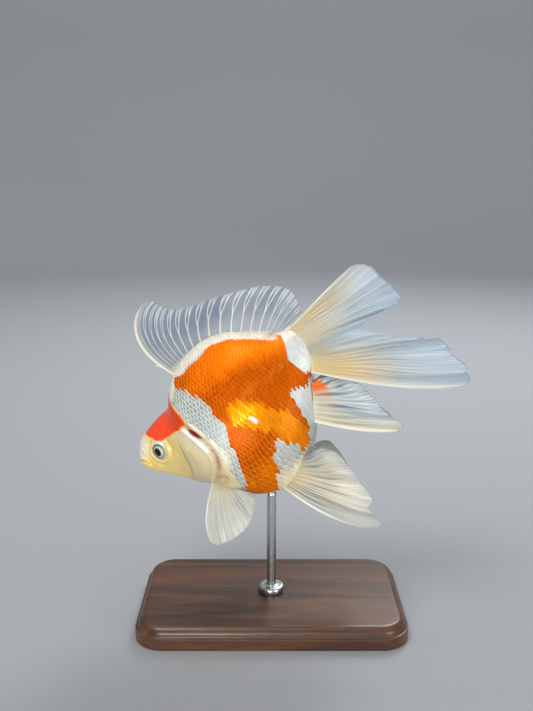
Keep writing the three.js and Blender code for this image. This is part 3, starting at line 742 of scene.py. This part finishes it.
# A fan where it says nothing else. belly: bulge to the side. count: rays. grid: points across and along.
# fork, spread: where a ray parts and how far. clear: how solid the web is. ripple: mm and waves. scallop,
# ragged, notches: the margin. edge: which side has the thick ray. width: a ray at root and tip. sway: how
# rays wander. ridge: how thick they are. contrast, faint: how pale, and the faintest. windows: clear slots.
# cool: blue at the margin. stains, patches: (across, width, reach, tint, share), under and over the rays; one
# pelvic stain is painted shade
fanDefaults = {
    "belly": 1, "count": 14, "grid": (440, 54), "fork": (0.25, 0.55), "spread": (0.25, 0.125), "web": "web",
    "clear": 0.9, "ripple": (0.6, 2.2), "scallop": 0.002, "ragged": 0.014, "edge": 0, "leading": 0.5,
    "width": (0.13, 0.07), "notches": [], "sway": 0, "ridge": 0.04, "contrast": 0.45, "windows": 0.5,
    "cool": 0.2, "faint": 0.3, "stains": [], "patches": [],
}
# Each row of rays: place along the base, tip x, tip z, curl in degrees, tip's distance from the midline
fans = {
    "dorsal": {
        "base": [[32.2, 0, 22.6], [42.6, 0, 26.6], [54.6, 0, 26.8], [66.6, 0, 21.6], [78.2, 0, 14.4]],
        "rays": [[0, 38.5, 55.3, -122, 1.5], [0.045, 40.7, 54.6, -114, 2.5], [0.1, 42.3, 51.3, -96, 3],
                 [0.17, 44.7, 48.1, -76, 3], [0.27, 51.0, 44.7, -55, 2], [0.42, 61.5, 42.3, -45, 0],
                 [0.6, 73.6, 38.8, -42, -1.5], [0.75, 83.9, 35.2, -34, -1.5], [0.88, 91.2, 29.8, -26, -1],
                 [0.95, 93.1, 24.0, -14, -0.5], [1, 91.8, 17.6, -4, 0]],
        "belly": 0, "count": 20, "fork": (0.42, 0.7), "spread": (0.17, 0.085), "web": "clear", "clear": 0.62,
        "ripple": (0.4, 2.5), "scallop": 0.008, "ragged": 0.006, "leading": 0.55, "width": (0.075, 0.042),
        "ridge": 0.1, "contrast": 1, "windows": 0, "cool": 0.25, "faint": 0.8,
        "patches": [(0, 0.05, 1.5, "cream", 0.7)],
        "stains": [(0.5, 0.9, 0.12, "cream", 0.9), (0.6, 0.7, 0.6, "web", 0.35)],
    },
    "upperTail": {
        "base": [[82.4, 1.5, 14.2], [84.6, 2.2, 9.4], [85.6, 2.6, 4.1]],
        "rays": [[0, 119.5, 22.9, -4, 9], [0.1, 124.1, 20.8, -2, 10], [0.22, 127.0, 16.5, 0, 11],
                 [0.35, 128.2, 11.0, -3, 12], [0.5, 129.5, 5.5, -6, 13], [0.6, 129.9, 1.7, -8, 13],
                 [0.7, 126.2, 0.7, -8, 12], [0.8, 121.6, 0.9, -8, 11], [0.9, 115.1, 1.0, -6, 10],
                 [1, 107.1, -0.3, -4, 9.6]],
        "count": 17, "grid": (420, 50), "fork": (0.22, 0.55), "ripple": (0.8, 2.4),
        "notches": [(0.55, 0.04), (0.68, 0.05), (0.8, 0.06), (0.9, 0.06)], "sway": 0.35, "contrast": 0.5,
        "windows": 0.3, "cool": 0.9, "patches": [(0, 0.09, 1.6, "cream", 0.6)],
        "stains": [(0.16, 0.13, 0.95, "tan", 0.9), (0.6, 0.5, 0.45, "tan", 0.6),
                   (0.5, 0.6, 0.6, "cream", 0.5)],
    },
    "lowerTail": {
        "base": [[85.6, 2.6, 4.1], [85.0, 2.8, -1], [82.4, 2.6, -5.6]],
        "rays": [[0, 107.1, 0.3, -8, 9.6], [0.09, 111.4, -2.5, -10, 12], [0.18, 117.0, -6.4, -12, 14],
                 [0.27, 121.6, -11.3, -12, 16], [0.36, 127.9, -15.4, -10, 18], [0.45, 134.4, -18.6, -8, 19],
                 [0.55, 135.1, -24.8, -4, 20], [0.67, 137.0, -30.1, 0, 21], [0.79, 136.6, -35.1, 5, 21],
                 [0.9, 135.3, -38.4, 10, 21], [1, 130.7, -38.8, 16, 20]],
        "belly": 2, "count": 18, "fork": (0.2, 0.5), "ripple": (0.9, 2.8), "edge": 1, "leading": 0.3,
        "sway": 0.4, "windows": 0.35, "cool": 0.85, "patches": [(1, 0.07, 1.3, "cream", 0.4)],
        "notches": [(0.14, 0.05), (0.27, 0.05), (0.44, 0.03), (0.6, 0.03), (0.78, 0.02)],
        "stains": [(0.78, 0.25, 0.62, "amber", 1), (0.3, 0.35, 0.35, "tan", 0.6),
                   (0.7, 0.5, 0.7, "cream", 0.4)],
    },
    "anal": {
        "base": [[71.6, 2.4, -22.8], [76.8, 3, -16.2], [80.2, 3, -9.4]],
        "rays": [[0, 99.9, -43.6, 18, 8], [0.12, 103.2, -42.0, 14, 9], [0.25, 102.2, -38.3, 4, 9],
                 [0.4, 100.0, -33.5, 0, 9], [0.55, 99.1, -27.8, -3, 9], [0.7, 97.9, -21.7, -6, 8],
                 [0.83, 95.9, -17.3, -10, 5.5], [0.93, 91.8, -12.4, -14, 3.5], [1, 88.3, -10.0, -16, 2]],
        "count": 10, "grid": (280, 50), "fork": (0.28, 0.6), "clear": 0.82, "ragged": 0.01, "leading": 0.4,
        "width": (0.12, 0.07), "sway": 0.2, "ridge": 0.05, "contrast": 0.65, "windows": 1, "cool": 0.7,
        "faint": 0.5, "stains": [(0.5, 0.9, 0.5, "cream", 0.7)],
        "patches": [(0.04, 0.16, 1.4, "cream", 0.75), (0.86, 0.2, 0.42, "orange", 1.4)],
    },
    "pelvic": {
        "base": [[46.4, 5, -38.0], [53.4, 6, -36.2], [60.2, 6, -33.2]],
        "rays": [[0, 72.5, -72.9, 34, 12], [0.09, 75.5, -71.4, 27, 13], [0.2, 75.4, -66.5, 16, 14],
                 [0.27, 74.4, -63.0, 11, 14], [0.31, 77.8, -61.0, 9, 14], [0.48, 77.3, -54.2, 2, 13],
                 [0.63, 76.7, -47.7, -4, 12], [0.78, 75.8, -40.9, -8, 11], [0.9, 73.9, -36.2, -12, 10],
                 [1, 70.8, -33.2, -14, 9]],
        "belly": 2, "count": 15, "grid": (370, 50), "clear": 0.88, "ragged": 0.01, "leading": 0.6,
        "width": (0.12, 0.07), "notches": [(0.72, 0.02)], "sway": 0.3, "windows": 0.7,
        "stains": [(0.45, 0.5, 0.35, "amber", 0.7), (0.5, 0.45, 1.4, "dusk", 0.9),
                   # the grey along the edge next to the belly is painted shade
                   (1, 0.22, 3, "paintedBellyShade", 0.75)],
    },
    "pectoral": {
        "base": [[24.4, 11.5, -22.6], [28.0, 12.5, -26.0], [31.4, 12.5, -29.0]],
        "rays": [[0, 13.0, -41.7, 46, 20], [0.1, 14.1, -43.8, 34, 20], [0.25, 19.4, -45.2, 12, 20],
                 [0.42, 25.0, -45.2, 0, 19], [0.58, 30.0, -43.7, -10, 18], [0.74, 34.0, -40.4, -18, 17],
                 [0.88, 36.3, -37.5, -24, 15], [1, 37.3, -35.5, -28, 13]],
        "grid": (290, 46), "fork": (0.4, 0.72), "spread": (0.2, 0.1), "clear": 0.74, "ripple": (0.25, 2.0),
        "ragged": 0.005, "width": (0.11, 0.06), "ridge": 0.035, "contrast": 0.3, "cool": 0.15, "faint": 0.5,
        "stains": [(0.5, 0.8, 0.35, "cream", 0.7), (0.5, 0.9, 2.5, "dusk", 0.4)],
    },
}
# name, fan, side, turn of the rays about their roots in degrees, and reach: the two sides differ a little
fins = [
    ("dorsal_fin", "dorsal", 1), ("anal_fin_left", "anal", -1), ("anal_fin_right", "anal", 1, (0, 1, 3), 0.9),
    ("pelvic_fin_left", "pelvic", -1), ("pelvic_fin_right", "pelvic", 1, (4, 10, 0), 0.9),
    ("pectoral_fin_left", "pectoral", -1), ("pectoral_fin_right", "pectoral", 1, (20, -35, 0)),
    ("tail_fin_left_upper", "upperTail", -1), ("tail_fin_left_lower", "lowerTail", -1),
    ("tail_fin_right_upper", "upperTail", 1, (0, 1, 4), 0.95),
    ("tail_fin_right_lower", "lowerTail", 1, (0, 6.5, 3), 0.93),
]
finTints = palette({
    "ray": "#F0F0E8", "web": "#BDC7C8", "clear": "#7A889E", "cream": "#E6DAB8", "tan": "#C8AC66",
    "amber": "#E6BE58", "cool": "#93ACC6", "window": "#7388A0", "dusk": "#D8CAAA", "paintedBellyShade": "#878D8C",
    "orange": "#EE7200"})


def finSheet(fan, side, turning, reach, seed):
    # the middle surface: rays that start on the base curve and curl as the square of the distance along them
    columns, steps = fan["grid"]
    across = np.linspace(0, 1, columns)
    place, tipX, tipZ, curl, tipY = alongTable(fan["rays"], across).T
    root = alongTable(fan["base"], np.clip(place, 0, 1)) * np.array([1, side, 1])
    swing = np.array(Euler([math.radians(a) for a in turning], "ZYX").to_matrix())
    span = ((np.stack([tipX, tipY * side, tipZ], 1) - root) @ swing.T) * reach
    links = 200  # each ray is this many short steps, turned and stretched so that it ends at its tip
    heading = np.radians(curl)[:, None] * ((np.arange(links) + 0.5) / links) ** 2
    line = np.stack([np.cos(heading).cumsum(1), np.sin(heading).cumsum(1)], -1)
    line = np.concatenate([np.zeros((columns, 1, 2)), line], 1)
    endX, endZ = line[:, -1].T
    scale = np.hypot(span[:, 0], span[:, 2]) / np.hypot(endX, endZ)
    bearing = np.arctan2(span[:, 2], span[:, 0]) - np.arctan2(endZ, endX)
    c, s = (way(bearing)[:, None] * scale[:, None] for way in (np.cos, np.sin))
    flat = (line[..., 0] * c - line[..., 1] * s, line[..., 0] * s + line[..., 1] * c)
    between = 1 - abs(np.cos(math.pi * fan["count"] * across)) ** 0.7  # the edge dips between the ray tips
    ragged = 0.35 * waves(across * 40, 0 * across, 1.5, seed) + waves(across * 40, 0 * across, 5.0, seed + 1)
    length = 1 - fan["scallop"] * between - fan["ragged"] * (1 + ragged)
    for notch, deep in fan["notches"]:  # a torn step in the margin that heals over the next rays
        healed = np.exp(-np.maximum(across - notch, 0) / 0.05)
        length = length - deep * ease(across, notch - 0.006, notch + 0.006) * healed
    r = np.linspace(0, 1, steps)[None] * length[:, None]
    spot = np.clip(r, 0, 1.03) * links
    low = np.minimum(spot.astype(int), links - 1)
    f = spot - low
    i = np.arange(columns)[:, None]
    x, z = (part[i, low] * (1 - f) + part[i, low + 1] * f for part in flat)
    y = span[:, 1][:, None] * r + side * fan["belly"] * 4 * r * (1 - r)
    sheet = np.stack([x, y, z], -1) + root[:, None]
    depth, count = fan["ripple"]
    phase = np.random.default_rng(seed).uniform(0, circle)
    u = across[:, None]
    bow = np.sin(circle * count * (u + 0.08 * r) + phase) + 0.5 * np.sin(
        circle * count * 2.3 * u + 2 * phase + 2 * r)
    sheet = sheet + gridNormals(sheet) * (depth * ease(r, 0.1, 0.9) * bow)[..., None]
    return sheet, across[:, None] + 0 * r, r


def rayPattern(fan, u, r, seed):
    # the count of rays passed, and up to 1 on a ray and 0 between: the distance to the ray's middle, folded
    # about two forks so that it branches, and some rays are fainter than others
    q = u * fan["count"] + fan["sway"] * np.sin(circle * (0.8 * r + 1.5 * u)) * ease(r, 0.05, 0.6)
    d = abs(q - np.floor(q) - 0.5)
    for fork, spread in zip(fan["fork"], fan["spread"]):
        d = abs(d - spread * ease(r, fork, fork + 0.3))
    wide, narrow = fan["width"]
    strength = np.random.default_rng(seed + 5).uniform(fan["faint"], 1, fan["count"] + 4)
    width = wide + (narrow - wide) * ease(r, 0.1, 0.7)
    return q, strength[np.floor(q).astype(int) + 2] * bell(d, width)


def finColours(fan, u, r, seed):
    # the web, cooler toward the margin, with stains at the root and painted shade on the pelvic fin, clear
    # windows between rays, and pale rays
    q, ray = rayPattern(fan, u, r, seed)
    rng = np.random.default_rng(seed + 9)
    gap = np.round(q).astype(int)
    chance, middle, length = (rng.uniform(*ends, fan["count"] + 3)[gap + 1] for ends in (
        (0, 1), (0.25, 0.6), (0.12, 0.3)))
    window = fan["windows"] * ease(chance, 0.25, 0.7) * bell(q - gap, 0.28) * bell(r - middle, length)
    leading = bell(u - fan["edge"], 0.04) * (1 - 0.7 * r)

    def shares(kind, full):
        # each entry's colour and its share, whole up to a part of its reach
        return [(key, strength * bell(u - centre, width) * (1 - ease(r, full * reach, reach)))
                for centre, width, reach, key, strength in fan[kind]]

    patches = shares("patches", 0.6)
    colour = layered(
        finTints, fan["web"], ("cool", fan["cool"] * ease(r, 0.35, 1)),
        *shares("stains", 0.3), ("window", 0.85 * window), ("ray", fan["contrast"] * ray), *patches,
        ("ray", 0.9 * leading))
    solid = np.maximum(np.clip(ray * 0.9 + leading * 2, 0, 1), 1 - ease(r, 0.0, 0.12))
    for key, share in patches:
        solid = np.maximum(solid, share)
    clearness = fan["clear"] + (1 - fan["clear"]) * solid
    clearness = clearness * (1 - 0.25 * ease(r, 0.8, 1.0) * (1 - ray)) * (1 - 0.3 * window)
    return np.concatenate([colour, clearness[..., None]], -1), ray, leading


def makeFin(material, name, kind, side, turning=(0, 0, 0), reach=1):
    # two faces either side of the sheet, thicker on the rays, joined by a strip round the border
    fan = {**fanDefaults, **fans[kind]}
    seed = sum(map(ord, name))
    sheet, u, r = finSheet(fan, side, turning, reach, seed)
    tint, ray, leading = finColours(fan, u, r, seed)
    columns, steps = r.shape
    half = 0.5 * (1 - r) ** 2 + 0.08 + fan["ridge"] * ray * (1 - 0.5 * r) + fan["leading"] * leading ** 2
    half = half * ease(1 - np.linspace(0, 1, steps), -0.01, 0.04) ** 0.5 + 0.04
    push = gridNormals(sheet) * half[..., None]
    points = np.concatenate([(sheet + push).reshape(-1, 3), (sheet - push).reshape(-1, 3)])
    grid = gridFaces(columns, steps)
    n = columns * steps
    at = np.arange(n).reshape(columns, steps)
    border = np.concatenate([at[:, 0], at[-1, 1:], at[-2::-1, -1], at[0, -2:0:-1]])
    ahead = np.roll(border, -1)
    faces = [grid, grid[:, ::-1] + n, np.stack([border, ahead, ahead + n, border + n], 1)]
    own = np.stack([u * fan["count"], r], -1).reshape(-1, 2)
    corners = np.concatenate([f.ravel() for f in faces]) % n
    return makePiece(name + "_web", toRow(points), orient(points, faces), material, (name,),
                     np.tile(tint.reshape(-1, 4), (2, 1)), {"fan": own[corners]})


def orient(points, faces):
    # turns every face over when the closed surface they make has a negative volume
    volume = 0
    for f in faces:
        a, b, c = (points[f[:, k]] for k in (0, 1, 2))
        volume += np.einsum("ij,ij->", a, np.cross(b, c))
        if f.shape[1] == 4:
            volume += np.einsum("ij,ij->", a, np.cross(c, points[f[:, 3]]))
    return faces if volume > 0 else [f[:, ::-1] for f in faces]


# ---- lathed and swept shapes: eyes, spine, rod and collar ----


def latheGrid(profile, around):
    # a profile of (radius, height) turned about the height axis
    angle = np.arange(around) / around * circle
    radius, height = np.asarray(profile, float).T[..., None]
    return np.stack([radius * np.cos(angle), radius * np.sin(angle), height + 0 * angle], -1)


def closedGrid(points):
    # a grid of rings whose first and last rings are points: those become one vertex each
    rows, columns = points.shape[:2]
    packed = np.vstack([points[0].mean(0), points[1:-1].reshape(-1, 3), points[-1].mean(0)])
    step = np.arange(columns)
    ahead = (step + 1) % columns
    last = len(packed) - 1
    start = last - columns
    fans = np.vstack([np.stack([0 * step, 1 + step, 1 + ahead], 1),
                      np.stack([0 * step + last, start + ahead, start + step], 1)])
    return packed, [fans, gridFaces(rows - 2, columns, True) + 1]


def makeEye(side, material):
    # the ball's front: pupil and iris under a clear dome, a dark groove, then the pale rim at the skin
    word = "left" if side < 0 else "right"
    centre, facing = eyeFrame(side)
    profile = smoothLine(eye["profile"], eye["rings"])
    profile[:, 0] = np.maximum(profile[:, 0], 0)
    points, faces = closedGrid(latheGrid(profile, eye["around"]))
    u, v, out = points.T
    ahead = unit(np.cross([0, 0, 1.0], facing)) * -side
    above = unit(np.cross(facing, ahead))
    above = above if above[2] > 0 else -above
    radius, bearing = np.hypot(u, v), np.arctan2(v, u)
    speckle = 0.5 + 0.5 * waves(np.cos(bearing) * 6 + radius, np.sin(bearing) * 6, 2.0, 4)
    upRear = np.clip((v - 0.6 * u) / np.maximum(radius, 0.1), -1, 1)
    rim = ease(radius, 3.2, 3.5)
    colour = layered(
        eyeTints, "iris", ("fleck", speckle * 0.7),
        ("pupil", 1 - ease(np.hypot(u * 1.08, v * 0.93), 1.6, 1.85)), ("rim", rim),
        ("rimLow", rim * ease(-upRear, -0.1, 0.6)),
        ("groove", bell(radius - 2.95, 0.42) * (0.55 + 0.45 * ease(upRear, -0.7, 0.2))),
        ("socket", ease(radius, 4.05, 4.35)), ("back", out <= 0))
    world = points @ np.stack([ahead, above, facing], 1).T + centre
    return makePiece("eyeball_" + word, toRow(world), orient(world, faces), material, ("eye_" + word,),
                     opaque(np.clip(colour, 0, 1)))


spine = {"root": (32.4, 0, 21.4), "tip": (27.4, 0, 31.0), "bend": (0.55, 0, 0.25), "radius": 0.6, "rings": 26,
         "around": 20}


def makeSpine(material):
    # the short spine before the dorsal fin: a tapered rod with a rounded tip, bent back a little
    root, tip, bend = (np.array(spine[key]) for key in ("root", "tip", "bend"))
    t = np.linspace(0, 1, spine["rings"])
    line = root + (tip - root) * t[:, None] + bend * (4 * t * (1 - t))[:, None]
    sideways = np.array([0, 1.0, 0])
    outward = np.cross(unit(np.gradient(line, axis=0)), sideways)
    thick = spine["radius"] * (1 - 0.55 * t) * np.sqrt(np.clip(1 - ((t - 0.93) / 0.07).clip(0, 1) ** 2, 0, 1))
    thick = thick * (1 + 0.06 * np.sin(t * 60))
    angle = np.arange(spine["around"]) / spine["around"] * circle
    ring = np.cos(angle)[None, :, None] * sideways + np.sin(angle)[None, :, None] * outward[:, None]
    points = line[:, None] + ring * thick[:, None, None]
    points[0] = points[0].mean(0)
    packed, faces = closedGrid(points)
    return makePiece("dorsal_spine_ray", toRow(packed), orient(packed, faces), material,
                     ("dorsal_spine",), opaque(np.tile(finTints["ray"], (len(packed), 1))),
                     {"fan": np.zeros((sum(f.size for f in faces), 2))})


# The base's moulded edge is (inset, height) in mm
stand = {
    "edge": [(3, 0.0), (0.6, 0.0), (0.15, 0.2), (0, 0.7), (0, 4.6), (0.25, 5.0), (0.8, 5.15), (1.1, 5.5),
             (1.3, 6.6), (2.0, 7.9), (3.2, 8.8), (4.4, 9.0), (6, 9.0)],
    "corner": 12.0, "edgeRings": 73, "arcPoints": 16, "around": 64,
}


def makeBase(wood):
    # a rounded rectangle drawn in by a moulded edge
    low, high = (np.array(corner) * 1000 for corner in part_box("stand_base"))
    inset, height = alongTable(stand["edge"], np.linspace(0, 1, stand["edgeRings"])).T[..., None]
    turned = np.linspace(0, 1, stand["arcPoints"]) + np.arange(4)[:, None]
    angle = (math.pi / 2 * turned).ravel()
    signs = np.repeat([(1, 1), (-1, 1), (-1, -1), (1, -1)], stand["arcPoints"], 0)
    corners = ((high - low) / 2)[:2] - stand["corner"]
    ring = np.stack([np.cos(angle), np.sin(angle)], 1)
    xy = signs * corners + ring * (stand["corner"] - inset)[..., None] + ((low + high) / 2)[:2]
    tall = np.clip(height, 0, high[2])[..., None] + 0 * xy[..., :1]
    points = np.concatenate([xy, tall], -1)
    rows, n = points.shape[:2]
    points = points.reshape(-1, 3)
    faces = orient(points, [gridFaces(rows, n, True)])
    for cap, up in ((np.arange(n), -1), ((rows - 1) * n + np.arange(n), 1)):  # the faces below and above
        rim = points[cap]
        area = np.cross(rim, np.roll(rim, -1, 0))[:, 2].sum()
        faces.append(cap[None] if area * up > 0 else cap[None, ::-1])
    makePiece("stand_base_wood", points / 1000, faces, wood, ("stand_base",))


def makeTurned(node, steel):
    # the collar and the rod: a profile turned about the node's middle
    low, high = (np.array(corner) * 1000 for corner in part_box(node))
    middle, radius, foot, top = (low + high) / 2, (high[0] - low[0]) / 2, low[2], high[2]
    if node == "stand_collar":
        profile, count = [
            (0, foot - 0.3), (radius - 0.3, foot - 0.3), (radius, foot), (radius, top - 0.9),
            (radius - 0.25, top - 0.35), (radius - 0.9, top), (2.6, top), (2.3, top + 0.3), (0, top + 0.3)], 3
    else:
        profile, count = [(0, foot - 0.5), (radius, foot - 0.4), (radius, top + 0.3), (0, top + 0.6)], 20
    stops = np.arange(len(profile))
    finer = np.linspace(0, stops[-1], stops[-1] * count + 1)
    rows = np.stack([np.interp(finer, stops, part) for part in zip(*profile)], 1)
    points, faces = closedGrid(latheGrid(rows, stand["around"]))
    points = points + middle * (1, 1, 0)
    makePiece(node + "_steel", points / 1000, orient(points, faces), steel, (node,))


# ---- materials ----


def skinMaterial():
    # fish skin in clear lacquer, painted and pearled: wet gloss, fine grain and soft mottling
    made, tree = newMaterial("lacquered_fish_skin")
    place = ownPlace(tree)
    mottle = noise(tree, place, 420, 4)  # patches of about 2.4 mm
    grain = noise(tree, place, 2200)  # grains of about 0.45 mm, coarser than real skin's
    return finish(made, {
        "Base Color": shaded(tree, tintOf(tree)["Color"], ranged(tree, mottle, 0.94, 1.05, 0.3, 0.7)),
        "Roughness": ranged(tree, mottle, 0.28, 0.42), "Normal": bumped(tree, grain, 0.12),
        "Coat Weight": 0.35, "Coat Roughness": 0.12, "Subsurface Weight": 0.12,
        "Subsurface Radius": (1, 0.5, 0.3), "Subsurface Scale": 0.0015})


def scaleMaterial():
    # a fish scale: clear horn over guanine, so a pearly half-metal glint, with growth rings and a fine grain
    made, tree = newMaterial("pearly_fish_scale")
    tint = tintOf(tree)["Color"]
    plate = addNode(tree, "ShaderNodeUVMap", {"uv_map": "plate"}).outputs[0]
    away = addNode(tree, "ShaderNodeVectorMath", {"operation": "DISTANCE"}, {0: plate, 1: (-0.7, 0, 0)})
    turns = worked(tree, "MULTIPLY", away.outputs["Value"], 16.0)
    rings = worked(tree, "SINE", turns)  # growth rings, coarser than real ones
    fine = noise(tree, ownPlace(tree), 900)  # flecks of about 1.1 mm
    relief = worked(tree, "MULTIPLY_ADD", rings, 0.07, fine)
    golden = addNode(tree, "ShaderNodeGamma", None, {"Color": tint, "Gamma": 0.4})  # the orange plates' real reflections come out a yellower orange
    return finish(made, {
        "Base Color": shaded(tree, tint, ranged(tree, rings, 0.9, 1.04, -1.0, 1.0)), "Metallic": 0.3,
        "Roughness": ranged(tree, fine, 0.3, 0.5), "Normal": bumped(tree, relief, 0.25),
        "Specular IOR Level": 0.12, "Specular Tint": golden.outputs[0], "Coat Weight": 0.04,
        "Coat Roughness": 0.1})


def finMaterial():
    # a cast translucent web between opaque rays: the tint's alpha says how clear each place is
    made, tree = newMaterial("translucent_fin_web")
    tint = tintOf(tree)
    fan = addNode(tree, "ShaderNodeUVMap", {"uv_map": "fan"}).outputs[0]
    streaks = noise(tree, stretched(tree, fan, (12, 1.6, 1)), 1)  # twelve to the gap between two rays
    return finish(made, {
        "Base Color": shaded(tree, tint["Color"], ranged(tree, streaks, 0.8, 1.06, 0.3, 0.7)),
        "Alpha": tint["Alpha"], "Roughness": 0.4, "Normal": bumped(tree, streaks, 0.2), "Coat Weight": 0.15,
        "Coat Roughness": 0.2, "Subsurface Weight": 0.4, "Subsurface Radius": (1, 1, 1),
        "Subsurface Scale": 0.001})


def eyeMaterial():
    # a glass eye: painted iris under a polished clear front
    made, tree = newMaterial("polished_glass_eye")
    fleck = noise(tree, ownPlace(tree), 2500)
    return finish(made, {
        "Base Color": shaded(tree, tintOf(tree)["Color"], ranged(tree, fleck, 0.88, 1.05, 0.3, 0.7)),
        "Roughness": 0.35, "Specular IOR Level": 0.15, "Coat Weight": 0.5, "Coat Roughness": 0.02})


def walnutMaterial():
    # oiled walnut, sanded: long dark grain along the board, open pores and a satin shine
    made, tree = newMaterial("oiled_walnut")
    place = ownPlace(tree)
    growth = noise(tree, stretched(tree, place, (9, 110, 60)), 1, 6, 1.2)  # bands of 9 to 17 mm
    ramp = addNode(tree, "ShaderNodeValToRGB", None, {"Fac": growth})
    for stop, spot, colour in zip(ramp.color_ramp.elements, (0.3, 0.72), ("#2E1C12", "#6B452B")):
        stop.position, stop.color = spot, opaque(linear(colour))
    pits = noise(tree, stretched(tree, place, (120, 2200, 2200)), 1, 2)  # pores 0.45 mm wide and 8 mm long
    return finish(made, {
        "Base Color": shaded(tree, ramp.outputs[0], ranged(tree, pits, 0.75, 1.0, 0.35, 0.5)),
        "Roughness": 0.38, "Normal": bumped(tree, pits, 0.15), "Coat Weight": 0.15})


def steelMaterial():
    # turned stainless steel: fine rings round the rod that stretch its highlights
    made, tree = newMaterial("turned_stainless_steel")
    marks = noise(tree, stretched(tree, ownPlace(tree), (200, 200, 6000)), 1, 2)  # rings 0.17 mm apart
    return finish(made, {
        "Base Color": opaque(linear("#C4C6C8")), "Metallic": 1.0, "Roughness": ranged(tree, marks, 0.2, 0.38),
        "Normal": bumped(tree, marks, 0.1, 0.0001)})


def paperMaterial():
    # a matt paper backdrop
    made, tree = newMaterial("pale_paper_backdrop")
    fibre = noise(tree, ownPlace(tree), 300)
    return finish(made, {
        "Base Color": opaque(linear(studio["floorColour"])), "Roughness": ranged(tree, fibre, 0.85, 0.95)})


# ---- the pieces ----

skinFinish, scaleFinish, finFinish = skinMaterial(), scaleMaterial(), finMaterial()
print("skin")
makeSkin(skinFinish)
print("scales")
for side in (-1, 1):
    makeScales(side, scaleFinish)
print("fins")
for fin in fins:
    makeFin(finFinish, *fin)
makeSpine(finFinish)
print("eyes")
eyeFinish = eyeMaterial()
for side in (-1, 1):
    makeEye(side, eyeFinish)
print("stand")
makeBase(walnutMaterial())
steel = steelMaterial()
for node in ("stand_collar", "stand_rod"):
    makeTurned(node, steel)

# ---- floor, light and camera ----

studio = {
    "floorRadius": 1.15, "wallRadius": 1.6, "wallHeight": 1.3, "around": 96, "bendRings": 24,
    "floorColour": "#999DA2", "airColour": "#F4F6F8", "air": 0.6, "aim": (0, 0, 0.085),
    # name, place, size, watts and colour of each lamp; the wall's lamp has a place of its own to look at
    "lamps": [("key", (-0.28, -0.3, 0.85), 0.35, 3.2, "#FFF9F2"),
              ("front", (-0.18, -0.8, 0.08), 0.3, 3.9, "#FFFCF6"),
              ("fill", (0.5, -0.6, 0.12), 0.3, 2.1, "#FFFFFF"),
              ("back", (0.25, 0.6, 0.7), 0.4, 4, "#FFFFFF")],
    "wallLamp": ("wall", (0, 0.35, 1.1), 0.8, 7, "#FFFFFF", (0, 1.6, 0.45)),
}
camera = {"place": (-0.01117, -0.34012, 0.19204), "tilt": 77, "lens": 43.44, "near": 0.01, "far": 10}


def makeBackdrop():
    # a round floor that curves up into a wall: a quarter of an ellipse between the two
    bend = np.linspace(0, math.pi / 2, studio["bendRings"])
    reach = studio["wallRadius"] - studio["floorRadius"]
    edge = studio["floorRadius"] + reach * np.sin(bend)
    radius = np.concatenate([[0.02, 0.4, 0.8], edge, [studio["wallRadius"]]])
    height = np.concatenate([[0, 0, 0], reach * (1 - np.cos(bend)), [studio["wallHeight"]]])
    around = studio["around"]
    points = latheGrid(np.stack([radius, height], 1), around)
    faces = gridFaces(len(radius), around, True).tolist() + [list(range(around))]
    mesh = bpy.data.meshes.new("backdrop")
    mesh.from_pydata(points.reshape(-1, 3).tolist(), [], faces)
    mesh.polygons.foreach_set("use_smooth", np.ones(len(mesh.polygons), bool))
    mesh.materials.append(paperMaterial())
    piece = bpy.data.objects.new("backdrop", mesh)
    bpy.context.scene.collection.objects.link(piece)


def addLight(name, place, size, power, colour, target):
    light = bpy.data.lights.new(name, "AREA")
    light.shape, light.size, light.energy = "DISK", size, power
    light.color = linear(colour)
    lamp = bpy.data.objects.new(name, light)
    lamp.location = place
    lamp.rotation_euler = (Vector(target) - Vector(place)).to_track_quat("-Z", "Y").to_euler()
    bpy.context.scene.collection.objects.link(lamp)


makeBackdrop()
for lamp in studio["lamps"]:
    addLight(*lamp, studio["aim"])
addLight(*studio["wallLamp"])

world = bpy.data.worlds.new("studio")
world.use_nodes = True
background = world.node_tree.nodes["Background"]
background.inputs["Color"].default_value = opaque(linear(studio["airColour"]))
background.inputs["Strength"].default_value = studio["air"]
bpy.context.scene.world = world
bpy.context.scene.view_settings.view_transform = "Standard"

lens = bpy.data.cameras.new("camera")
lens.lens, lens.clip_start, lens.clip_end = camera["lens"], camera["near"], camera["far"]
viewer = bpy.data.objects.new("camera", lens)
viewer.location = camera["place"]
viewer.rotation_euler = (math.radians(camera["tilt"]), 0, 0)
bpy.context.scene.collection.objects.link(viewer)
bpy.context.scene.camera = viewer
